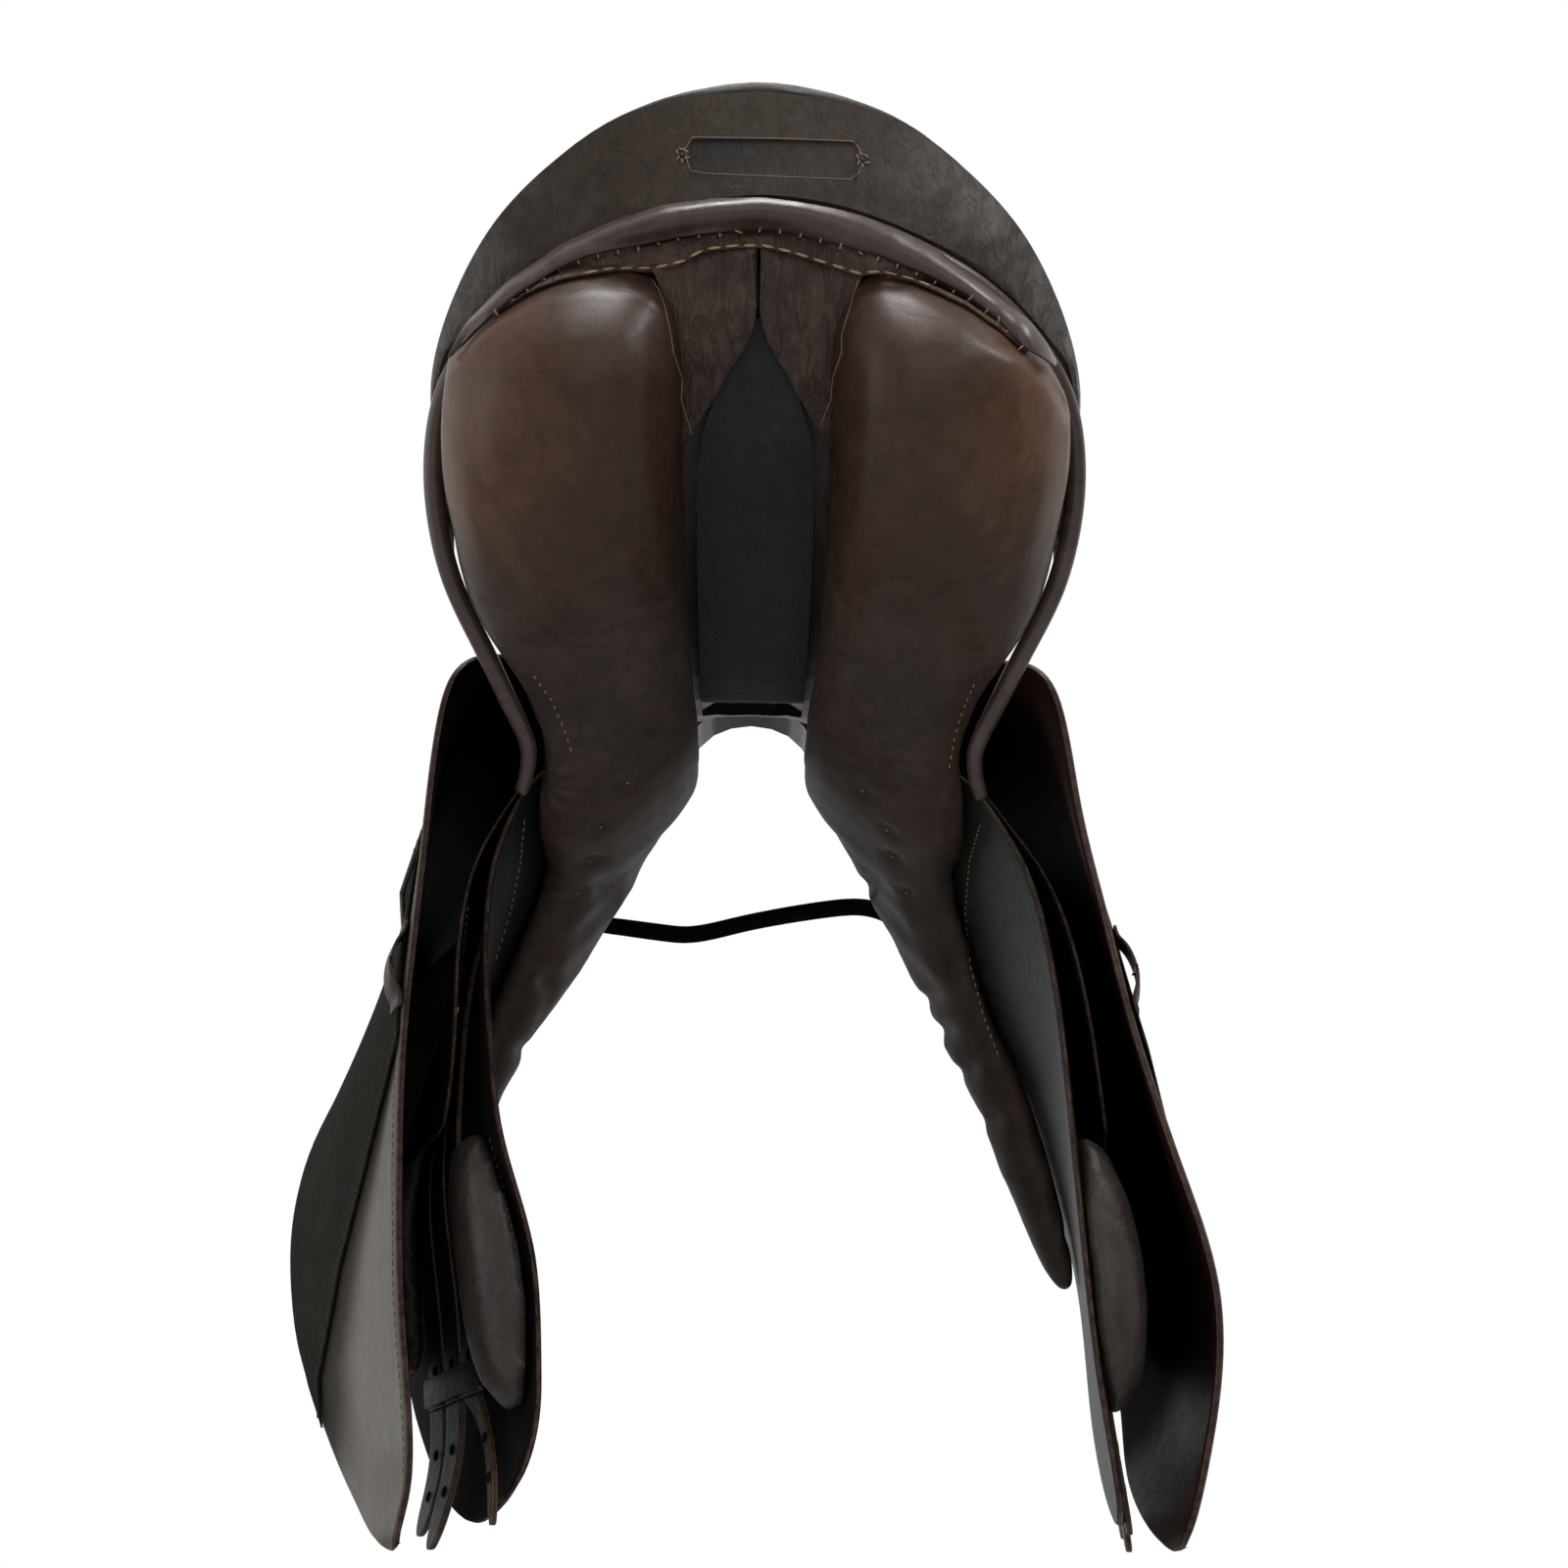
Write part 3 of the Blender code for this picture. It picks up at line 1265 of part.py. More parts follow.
def stirrup_bars():
    (plate_in, plate_out), (rear, front), (_, plate_top) = BAR_PLATE
    inner, outer = BAR_X
    low, high = BAR_Z
    ear = 1.8
    outline = [(plate_in, rear), (plate_out, rear), (plate_out, front - 15), (plate_out + 3, front - 11),
               (inner - 3, front - 11), (inner, front - 15), (inner, rear - 9), (inner + ear, rear - 9),
               (inner + ear, rear), (outer - ear, rear), (outer - ear, rear - 9), (outer, rear - 9),
               (outer, front - 8), (outer - 8, front), (plate_in, front)]
    pin_y = rear - 5.0
    pin_z = (low + high) / 2
    for side in (-1, 1):
        bar = make(f"stirrup_bar_{word(side)}",
                   *prism([(side * x, y) for x, y in outline], low, high), steel())
        axis = (side * 1.0, 0.0, 0.0)
        cut(bar, f"bar_pin_bore_{word(side)}",
            cylinder((side * (inner - 2), pin_y, pin_z), axis, 1.55, outer - inner + 4, 12))
        make(f"bar_pin_{word(side)}",
             *cylinder((side * (inner - 0.5), pin_y, pin_z), axis, 1.2, outer - inner + 1.0, 12), steel())
        upper = []
        lower = []
        for y, half in ((rear - CATCH_L - 0.5, 1.2), (rear - CATCH_L + 1.5, 2.4), (pin_y - 3, 2.8),
                        (pin_y, 2.8), (pin_y + 2, 1.9), (pin_y + 2.8, 0.6)):
            row = [side * (inner + ear + 0.4), side * (outer - ear - 0.4)]
            upper.append([(x, y, pin_z + half) for x in row])
            lower.append([(x, y, pin_z - half) for x in row])
        catch = make(f"bar_catch_{word(side)}", *slab(upper, lower), steel(),
                     (side * (inner + outer) / 2, pin_y, pin_z))
        cut(catch, f"catch_bore_{word(side)}",
            cylinder((side * inner, pin_y, pin_z), axis, 1.55, outer - inner, 12))


def ribbon(path, across, width, thickness):
    """Flat strap along a path, its width along a fixed direction."""
    rings = []
    last = len(path) - 1
    for k, point in enumerate(path):
        tangent = unit(minus(path[min(k + 1, last)], path[max(k - 1, 0)]))
        normal = unit(cross(across, tangent))
        ring = []
        for a, b in ((-1, -1), (1, -1), (1, 1), (-1, 1)):
            ring.append(plus(plus(point, across, a * width / 2), normal, b * thickness / 2))
        rings.append(ring)
    return skin(rings)


def circle_path(centre, radius, first, last, count, plane):
    """Points on an arc, plane giving the two axes it is drawn in."""
    path = []
    for angle in spread(math.radians(first), math.radians(last), count):
        point = list(centre)
        point[plane[0]] += radius * math.cos(angle)
        point[plane[1]] += radius * math.sin(angle)
        path.append(tuple(point))
    return path


def dee_tabs():
    """Leather tab on the head's leg, turned round the dee ring's wire."""
    for side in (-1, 1):
        x = side * DEE_AT[0]
        top = (x, DEE_AT[1], DEE_AT[2] + DEE_R)
        loop = circle_path(top, 3.6, 180.0, 495.0, 13, (1, 2))
        path = [(x, loop[0][1], top[2] + 19.0), (x, loop[0][1], top[2] + 8.0)] + loop
        make(f"dee_tab_{word(side)}", *ribbon(path, (1.0, 0.0, 0.0), 6.5, 1.4), plum_leather())


def strap_hinge():
    return (0.0, DEE_AT[1], DEE_AT[2] + DEE_R)


def grab_strap():
    """Rolled strap between two dee rings; rings and strap swing together in their tabs."""
    count = 25
    path = [along(STRAP_PATH, t) for t in spread(0.0, 1.0, count)]
    radii = []
    for k in range(count):
        end = min(k, count - 1 - k) / (count - 1)
        radii.append(cubic([(0, 2.6), (0.05, 3.6), (0.12, STRAP_R), (0.6, STRAP_R)], end))
    strap = make("grab_strap", *tube(path, radii, 8), strap_leather(), strap_hinge())
    for side in (-1, 1):
        wire = (side * (DEE_AT[0] - DEE_R), DEE_AT[1], DEE_AT[2])
        ring = circle_path((side * DEE_AT[0], DEE_AT[1], DEE_AT[2]), DEE_R, 0.0, 340.0, 18, (0, 2))
        make(f"dee_ring_{word(side)}", *tube(ring, DEE_WIRE, 6, closed=True), steel(), strap_hinge())
        loop = circle_path(wire, 3.8, 0.0, 360.0, 13, (0, 1))
        loop_shape = tube(loop[:-1], 1.1, 6, closed=True)
        fuse(strap, f"strap_loop_{word(side)}", loop_shape)


def fuse(target, name, shape):
    """Join a hidden shape to an object."""
    part = make(name, *shape, strap_leather())
    part.hide_render = True
    part.display_type = "WIRE"
    tool = target.modifiers.new(name, "BOOLEAN")
    tool.operation = "UNION"
    tool.solver = "EXACT"
    tool.object = part


def main():
    for existing in list(bpy.data.objects):
        bpy.data.objects.remove(existing, do_unlink=True)
    seat_cover()
    seat_foam()
    seat_webbing()
    tree()
    tree_springs()
    head()
    cantle_back()
    cantle_block()
    welt()
    gullet_lining()
    gussets()
    panels()
    sweat_flaps()
    blocks()
    billets()
    billet_keepers()
    billet_guards()
    flaps()
    flap_top_strips()
    grip_patches()
    stirrup_keepers()
    skirts()
    stirrup_bars()
    dee_tabs()
    grab_strap()


main()
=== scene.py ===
"""English riding saddle seen from behind and below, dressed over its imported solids."""
import json
import math

import bpy
import numpy as np
from mathutils import Matrix, Vector
from mathutils.bvhtree import BVHTree


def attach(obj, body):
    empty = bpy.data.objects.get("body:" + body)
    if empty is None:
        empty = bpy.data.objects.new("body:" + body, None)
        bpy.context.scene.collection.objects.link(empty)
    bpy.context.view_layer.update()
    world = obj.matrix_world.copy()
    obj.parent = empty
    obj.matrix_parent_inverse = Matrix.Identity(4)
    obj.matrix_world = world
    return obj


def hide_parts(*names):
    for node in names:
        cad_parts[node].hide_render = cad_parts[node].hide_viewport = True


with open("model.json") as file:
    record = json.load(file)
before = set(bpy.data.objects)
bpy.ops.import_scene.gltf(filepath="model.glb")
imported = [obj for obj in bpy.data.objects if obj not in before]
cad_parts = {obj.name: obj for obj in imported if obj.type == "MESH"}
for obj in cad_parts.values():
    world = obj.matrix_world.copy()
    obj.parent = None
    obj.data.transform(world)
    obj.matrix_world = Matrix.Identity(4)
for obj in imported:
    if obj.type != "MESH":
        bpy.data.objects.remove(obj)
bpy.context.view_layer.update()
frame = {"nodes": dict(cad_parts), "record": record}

# Studio: the camera stands low behind the saddle and looks up at the panels. A pale floor lies well
# below it, the world is white where it is seen, and four soft lamps give the leather its sheen.
eye = Vector((-0.003, -0.894, -0.463))
turn = (Matrix.Rotation(math.radians(-1.3), 3, "Z") @ Matrix.Rotation(math.radians(90 + 26.1), 3, "X")
        @ Matrix.Rotation(math.radians(0.1), 3, "Z"))
focal_pixels = 1897.0
bpy.ops.object.camera_add(location=eye, rotation=turn.to_euler())
camera = bpy.context.object
camera.data.sensor_width = 36.0
camera.data.lens = focal_pixels / 1600.0 * 36.0
camera.data.clip_start = 0.01
bpy.context.scene.camera = camera
bpy.context.scene.view_settings.view_transform = "Standard"

bpy.ops.mesh.primitive_plane_add(size=12.0, location=(0.0, 0.0, -0.62))
floor = bpy.context.object
floor.name = "studio_floor"
paint = bpy.data.materials.new("floor_paint")
paint.use_nodes = True
paint.node_tree.nodes["Principled BSDF"].inputs["Base Color"].default_value = (0.82, 0.82, 0.81, 1.0)
paint.node_tree.nodes["Principled BSDF"].inputs["Roughness"].default_value = 0.9
floor.data.materials.append(paint)

for place, size, watts in (((0.0, -0.75, 1.4), 0.6, 20.0), ((0.9, -0.8, 0.9), 0.35, 8.0),
                           ((-1.5, -0.45, -0.05), 1.3, 7.0), ((0.1, -1.8, -0.2), 1.2, 5.5)):
    bpy.ops.object.light_add(type="AREA", location=place)
    lamp = bpy.context.object
    lamp.data.size = size
    lamp.data.energy = watts
    lamp.rotation_euler = (Vector((0.0, 0.0, -0.05)) - Vector(place)).to_track_quat("-Z", "Y").to_euler()

world = bpy.context.scene.world or bpy.data.worlds.new("studio")
bpy.context.scene.world = world
world.use_nodes = True
sky = world.node_tree
sky.nodes.clear()


def join(tree, node, links):
    """Links or sets a node's inputs by name or number."""
    for key, value in links.items():
        if isinstance(value, bpy.types.NodeSocket):
            tree.links.new(value, node.inputs[key])
        else:
            node.inputs[key].default_value = value


def wire(tree, kind, links, **settings):
    """Adds a node, gives it its settings and joins up its inputs."""
    node = tree.nodes.new(kind)
    for key, value in settings.items():
        setattr(node, key, value)
    join(tree, node, links)
    return node


rays = wire(sky, "ShaderNodeLightPath", {})
seen_ray = wire(sky, "ShaderNodeMath", {0: rays.outputs["Is Camera Ray"],
                                        1: rays.outputs["Is Transmission Ray"]}, operation="MAXIMUM")
bright = wire(sky, "ShaderNodeMath", {0: rays.outputs["Is Glossy Ray"], 1: seen_ray.outputs[0]},
              operation="MAXIMUM")
dim = wire(sky, "ShaderNodeBackground", {"Color": (0.96, 0.98, 1.0, 1.0), "Strength": 0.3})
white = wire(sky, "ShaderNodeBackground", {"Color": (1.0, 1.0, 1.0, 1.0), "Strength": 1.0})
mixed = wire(sky, "ShaderNodeMixShader", {0: bright.outputs[0], 1: dim.outputs[0], 2: white.outputs[0]})
wire(sky, "ShaderNodeOutputWorld", {"Surface": mixed.outputs[0]})


# Seat tree: laminated beech rails and cantle with a steel plate round the gullet and a spring steel
# strip down each rail. The wood is stained and lacquered nearly black against sweat. All of it is
# closed in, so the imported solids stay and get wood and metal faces.
def new_material(name):
    material = bpy.data.materials.new(name)
    material.use_nodes = True
    tree = material.node_tree
    return material, tree, tree.nodes["Principled BSDF"]


def object_place(tree):
    return wire(tree, "ShaderNodeTexCoord", {}).outputs["Object"]


def noise(tree, place, scale, detail, **more):
    return wire(tree, "ShaderNodeTexNoise",
                {"Vector": place, "Scale": scale, "Detail": detail, **more}).outputs["Fac"]


def ranged(tree, value, low=0.0, high=1.0, first=0.0, last=1.0, smooth=False):
    """Maps a value from one range to another, held at its ends."""
    return wire(tree, "ShaderNodeMapRange", {"Value": value, 1: low, 2: high, 3: first, 4: last},
                interpolation_type="SMOOTHSTEP" if smooth else "LINEAR").outputs[0]


def tinted(tree, share, first, second, **settings):
    """Mixes two colours, each a socket or its red, green and blue."""
    ends = [(*end, 1.0) if isinstance(end, tuple) else end for end in (first, second)]
    return wire(tree, "ShaderNodeMix", {0: share, 6: ends[0], 7: ends[1]}, data_type="RGBA",
                **settings).outputs[2]


def dress(tree, shader, inputs, height, depth):
    """Joins up a shader's inputs and gives it a relief of some depth in metres."""
    relief = wire(tree, "ShaderNodeBump", {"Height": height, "Distance": depth})
    join(tree, shader, {**inputs, "Normal": relief.outputs[0]})


def wood_face():
    material, tree, shader = new_material("laminated_beech")
    place = object_place(tree)
    along_grain = wire(tree, "ShaderNodeMapping", {"Vector": place, "Scale": (1.0, 0.12, 1.0)})
    grain = noise(tree, along_grain.outputs[0], 260.0, 5.0)
    plies = wire(tree, "ShaderNodeTexWave", {"Vector": place, "Scale": 90.0, "Distortion": 1.5},
                 bands_direction="Z")
    tone = tinted(tree, grain, (0.022, 0.013, 0.009), (0.036, 0.023, 0.015))
    ply_tone = tinted(tree, 0.25, tone, plies.outputs["Color"], blend_type="MULTIPLY")
    dress(tree, shader, {"Base Color": ply_tone, "Roughness": 0.5}, grain, 0.0004)
    return material


def metal_face(name, colour, roughness):
    material, tree, shader = new_material(name)
    place = object_place(tree)
    along_brush = wire(tree, "ShaderNodeMapping", {"Vector": place, "Scale": (1.0, 0.05, 1.0)})
    brushed = noise(tree, along_brush.outputs[0], 3000.0, 2.0)
    worn = noise(tree, place, 120.0, 4.0)
    dress(tree, shader, {"Base Color": (*colour, 1.0), "Metallic": 1.0,
                         "Roughness": ranged(tree, worn, first=roughness - 0.08, last=roughness + 0.16)},
          brushed, 0.00005)
    return material


def face_of(node, material):
    mesh = frame["nodes"][node].data
    mesh.materials.clear()
    mesh.materials.append(material)


beech_face = wood_face()
spring_face = metal_face("spring_steel_face", (0.42, 0.42, 0.43), 0.38)
fitting_face = metal_face("polished_fitting", (0.66, 0.65, 0.62), 0.22)
for node in ("tree", "head_arch"):
    face_of(node, beech_face)
for node in ("tree_spring_left", "tree_spring_right", "gullet_plate"):
    face_of(node, spring_face)
for node in ("stirrup_bar_left", "stirrup_bar_right", "bar_catch_left", "bar_catch_right",
             "bar_pin_left", "bar_pin_right"):
    face_of(node, fitting_face)


# Seat: canvas webs strained over the tree, a moulded foam layer, and a leather cover drawn down over
# the cantle rim. The cover is cut in three, with a piped seam down each side and stitched skirts.
def reckon(tree, operation, *values):
    return wire(tree, "ShaderNodeMath", dict(enumerate(values)), operation=operation).outputs[0]


def scaled(tree, colour, amount):
    return wire(tree, "ShaderNodeVectorMath", {0: colour, 3: amount}, operation="SCALE").outputs[0]


def leather_group():
    """Colour, gloss and relief of dressed leather: mottled dye, worn patches, creases and hair grain."""
    group = bpy.data.node_groups.new("leather_surface", "ShaderNodeTree")
    for name, kind, value in (("Dye", "NodeSocketColor", (0.05, 0.04, 0.03, 1.0)),
                              ("Worn Dye", "NodeSocketColor", (0.09, 0.05, 0.03, 1.0)),
                              ("Wear", "NodeSocketFloat", 0.5), ("Wear Scale", "NodeSocketFloat", 14.0),
                              ("Grain Scale", "NodeSocketFloat", 1100.0),
                              ("Grain Depth", "NodeSocketFloat", 0.00006),
                              ("Crease Scale", "NodeSocketFloat", 90.0),
                              ("Crease Depth", "NodeSocketFloat", 0.0003),
                              ("Crease Stretch", "NodeSocketVector", (1.0, 1.0, 1.0)),
                              ("Gloss", "NodeSocketFloat", 0.4)):
        group.interface.new_socket(name=name, in_out="INPUT", socket_type=kind).default_value = value
    group.interface.new_socket(name="Colour", in_out="OUTPUT", socket_type="NodeSocketColor")
    group.interface.new_socket(name="Roughness", in_out="OUTPUT", socket_type="NodeSocketFloat")
    group.interface.new_socket(name="Normal", in_out="OUTPUT", socket_type="NodeSocketVector")
    given = wire(group, "NodeGroupInput", {}).outputs
    place = object_place(group)
    patches = noise(group, place, given["Wear Scale"], 4.0, Roughness=0.6)
    worn = reckon(group, "MULTIPLY", ranged(group, patches, 0.42, 0.66, smooth=True), given["Wear"])
    dyed = tinted(group, worn, given["Dye"], given["Worn Dye"])
    mottle = noise(group, place, 160.0, 5.0, Roughness=0.65)
    stretched = wire(group, "ShaderNodeMapping", {"Vector": place, "Scale": given["Crease Stretch"]})
    folds = noise(group, stretched.outputs[0], given["Crease Scale"], 5.0, Roughness=0.55,
                  Distortion=0.6)
    folded = reckon(group, "ABSOLUTE", reckon(group, "SUBTRACT", folds, 0.5))
    ridge = ranged(group, folded, 0.0, 0.09, smooth=True)
    cells = wire(group, "ShaderNodeTexVoronoi", {"Vector": place, "Scale": given["Grain Scale"],
                                                 "Randomness": 0.9}, feature="DISTANCE_TO_EDGE")
    pebbles = ranged(group, cells.outputs["Distance"], 0.0, 0.32, smooth=True)
    crease_bump = wire(group, "ShaderNodeBump", {"Height": ridge, "Distance": given["Crease Depth"],
                                                 "Strength": 1.0})
    grain_bump = wire(group, "ShaderNodeBump", {"Height": pebbles, "Distance": given["Grain Depth"],
                                                "Strength": 1.0, "Normal": crease_bump.outputs[0]})
    # The dye is mottled at random and painted up to 14% darker along the crease lines, painted shade in the
    # folds.
    mottle_and_crease_shade = reckon(group, "MULTIPLY", ranged(group, mottle, 0.3, 0.7, 0.8, 1.14),
                   ranged(group, ridge, first=0.86, last=1.03))
    gloss = reckon(group, "ADD", ranged(group, mottle, 0.3, 0.7, -0.05, 0.07), given["Gloss"])
    wire(group, "NodeGroupOutput", {"Colour": scaled(group, dyed, mottle_and_crease_shade), "Roughness": gloss,
                                    "Normal": grain_bump.outputs[0]})
    return group


leather_surface = leather_group()


def leather(name, dye, worn, gloss, wear=0.5, wear_scale=14.0, grain=(1100.0, 0.00006),
            crease=(90.0, 0.0003), stretch=(1.0, 1.0, 1.0), shine=0.17, coat=0.0):
    """A one-colour leather. The tree, the leather node and the shader come back for what is added."""
    material, tree, shader = new_material(name)
    face = wire(tree, "ShaderNodeGroup", {}, node_tree=leather_surface)
    join(tree, face, {"Dye": (*dye, 1.0), "Worn Dye": (*worn, 1.0), "Wear": wear,
                      "Wear Scale": wear_scale, "Grain Scale": grain[0], "Grain Depth": grain[1],
                      "Crease Scale": crease[0], "Crease Depth": crease[1],
                      "Crease Stretch": stretch, "Gloss": gloss})
    join(tree, shader, {"Base Color": face.outputs["Colour"], "Roughness": face.outputs["Roughness"],
                        "Normal": face.outputs["Normal"], "Specular IOR Level": shine,
                        "Coat Weight": coat, "Coat Roughness": 0.25})
    return material, tree, face, shader


def matted(material, share):
    """Mixes a plain diffuse coat under the sheen, so that grazing light doesn't turn leather white."""
    tree = material.node_tree
    shader = tree.nodes["Principled BSDF"]
    coat = wire(tree, "ShaderNodeBsdfDiffuse", {"Color": shader.inputs["Base Color"].links[0].from_socket,
                                                "Normal": shader.inputs["Normal"].links[0].from_socket})
    mixed = wire(tree, "ShaderNodeMixShader", {0: share, 1: coat.outputs[0], 2: shader.outputs[0]})
    tree.links.new(mixed.outputs[0], tree.nodes["Material Output"].inputs["Surface"])


def cut_from(node, name):
    """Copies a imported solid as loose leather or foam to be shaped, its doubled edges merged."""
    source = frame["nodes"][node]
    piece = source.copy()
    piece.data = source.data.copy()
    piece.parent = None
    for key in list(piece.keys()):
        del piece[key]
    bpy.context.scene.collection.objects.link(piece)
    piece.name = name
    piece.data.materials.clear()
    choose(piece)
    if piece.data.has_custom_normals:
        bpy.ops.mesh.customdata_custom_splitnormals_clear()
    bpy.ops.object.mode_set(mode="EDIT")
    bpy.ops.mesh.select_all(action="SELECT")
    bpy.ops.mesh.remove_doubles(threshold=0.00001)
    bpy.ops.mesh.normals_make_consistent(inside=False)
    bpy.ops.mesh.tris_convert_to_quads(face_threshold=math.radians(60), shape_threshold=math.radians(60))
    bpy.ops.object.mode_set(mode="OBJECT")
    return piece


def choose(piece):
    """Makes a piece the only one that the next operators act on."""
    bpy.ops.object.select_all(action="DESELECT")
    piece.hide_viewport = False
    piece.select_set(True)
    bpy.context.view_layer.objects.active = piece


def finish_modifier(piece, kind, **settings):
    """Adds a modifier with its settings and applies it."""
    choose(piece)
    modifier = piece.modifiers.new(kind.lower(), kind)
    for key, value in settings.items():
        setattr(modifier, key, value)
    bpy.ops.object.modifier_apply(modifier=modifier.name)


def corners(piece):
    """Places of a piece's vertices, and their normals, as arrays."""
    count = len(piece.data.vertices)
    places = np.empty(count * 3)
    piece.data.vertices.foreach_get("co", places)
    normals = np.empty(count * 3, np.float32)
    piece.data.vertex_normals.foreach_get("vector", normals)
    return places.reshape(-1, 3), normals.reshape(-1, 3).astype(float)


def move_corners(piece, places):
    piece.data.vertices.foreach_set("co", places.astype(np.float32).ravel())
    piece.data.update()


def smooth_faces(piece, angle=None):
    choose(piece)
    if angle:
        bpy.ops.object.shade_smooth_by_angle(angle=math.radians(angle))
    else:
        bpy.ops.object.shade_smooth()


body_of_node = {node: body for body, nodes in frame["record"]["behaviour"]["bodies"].items()
                for node in nodes}


def fit(piece, slot, node, material, *more):
    """Gives a finished piece its material and its body, and hides the solids that it stands for. Its slot is
    not used.
    """
    piece.data.materials.append(material)
    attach(piece, body_of_node[node])
    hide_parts(node, *more)


def canvas_face():
    material, tree, shader = new_material("canvas_web")
    place = object_place(tree)
    warp, weft = (wire(tree, "ShaderNodeTexWave", {"Vector": place, "Scale": 300.0},
                       bands_direction=direction).outputs["Fac"] for direction in "XY")
    weave = reckon(tree, "MULTIPLY", warp, weft)
    tone = tinted(tree, weave, (0.3, 0.25, 0.17), (0.6, 0.54, 0.42))
    dress(tree, shader, {"Base Color": tone, "Roughness": 0.9}, weave, 0.0003)
    return material


def foam_face():
    material, tree, shader = new_material("open_cell_foam")
    cells = wire(tree, "ShaderNodeTexVoronoi", {"Vector": object_place(tree), "Scale": 900.0})
    tone = tinted(tree, cells.outputs["Distance"], (0.66, 0.6, 0.4), (0.42, 0.36, 0.2))
    dress(tree, shader, {"Base Color": tone, "Roughness": 0.95}, cells.outputs["Distance"], 0.0005)
    return material


face_of("seat_webbing", canvas_face())
pad_squeeze = np.array((0.95, 1.0, 1.0))
pad_drop = np.array((0.0, 0.0, 0.003))
seat_pad = cut_from("seat_foam", "seat_pad")
finish_modifier(seat_pad, "SUBSURF", subdivision_type="SIMPLE", levels=1, render_levels=1)
places, _ = corners(seat_pad)
move_corners(seat_pad, places * pad_squeeze - pad_drop)
smooth_faces(seat_pad, 40)
fit(seat_pad, "foam", "seat_foam", foam_face())

seat_face = leather("seat_hide", (0.034, 0.028, 0.023), (0.062, 0.05, 0.04), 0.36, wear=0.5,
                    wear_scale=9.0, grain=(1000.0, 0.00003), crease=(40.0, 0.00005),
                    stretch=(1.0, 0.45, 0.6))[0]
seat = cut_from("seat_cover", "seat_hide")
finish_modifier(seat, "SUBSURF", levels=2, render_levels=2)
smooth_faces(seat, 50)
fit(seat, "seat_leather", "seat_cover", seat_face)


# Cantle back: a creased disc of leather drawn over the wooden block, with a shallow bare recess where
# a plate was once nailed, and a torn nail hole at each end of it.
def ripple(places, scale, seed):
    """A smooth, repeatable wobble between -1 and 1 at each place."""
    wobble = np.zeros(len(places))
    turns = np.random.default_rng(seed)
    for octave in range(5):
        heading = turns.normal(size=3)
        heading /= np.linalg.norm(heading)
        phase = turns.uniform(0, 6.28)
        wobble += np.sin(places @ heading * scale * (1 + 0.6 * octave) + phase) / (1 + octave)
    return wobble / 2.3


def pixel_ray(across, down):
    """Direction from the eye through a point of the 1600 by 1600 picture."""
    return (turn @ Vector((across - 800.0, 800.0 - down, -focal_pixels))).normalized()


def in_picture(places):
    """Where points fall in the picture, across and down."""
    seen = (places - np.array(eye)) @ np.array(turn)
    return 800 - focal_pixels * seen[:, 0] / seen[:, 2], 800 + focal_pixels * seen[:, 1] / seen[:, 2]


def eased(amount):
    amount = np.clip(amount, 0, 1)
    return amount * amount * (3 - 2 * amount)


def surface_of(*pieces):
    places = []
    faces = []
    for piece in pieces:
        start = len(places)
        places += [v.co.copy() for v in piece.data.vertices]
        faces += [[start + k for k in polygon.vertices] for polygon in piece.data.polygons]
    return BVHTree.FromPolygons(places, faces)


def seen_on(surface, across, down):
    """Place and normal where a picture point falls on a surface."""
    place, normal, _, _ = surface.ray_cast(eye, pixel_ray(across, down))
    return place, normal


def crease_sharp(piece):
    """Marks a piece's sharp edges so that subdivision keeps them and only rounds their run."""
    choose(piece)
    bpy.ops.object.mode_set(mode="EDIT")
    bpy.ops.mesh.select_mode(type="EDGE")
    bpy.ops.mesh.select_all(action="DESELECT")
    bpy.ops.mesh.edges_select_sharp(sharpness=math.radians(50))
    bpy.ops.transform.edge_crease(value=1.0)
    bpy.ops.object.mode_set(mode="OBJECT")


cantle_hide = cut_from("cantle_back", "cantle_hide")
crease_sharp(cantle_hide)
finish_modifier(cantle_hide, "SUBSURF", levels=3, render_levels=3)
recess_shift = 0.0068
places, _ = corners(cantle_hide)
across, down = in_picture(places)
near_recess = np.exp(-np.abs((across - 785) / 150) ** 5 - np.abs((down - 160) / 42) ** 5)
places[:, 0] += recess_shift * near_recess
move_corners(cantle_hide, places)
smooth_faces(cantle_hide, 35)


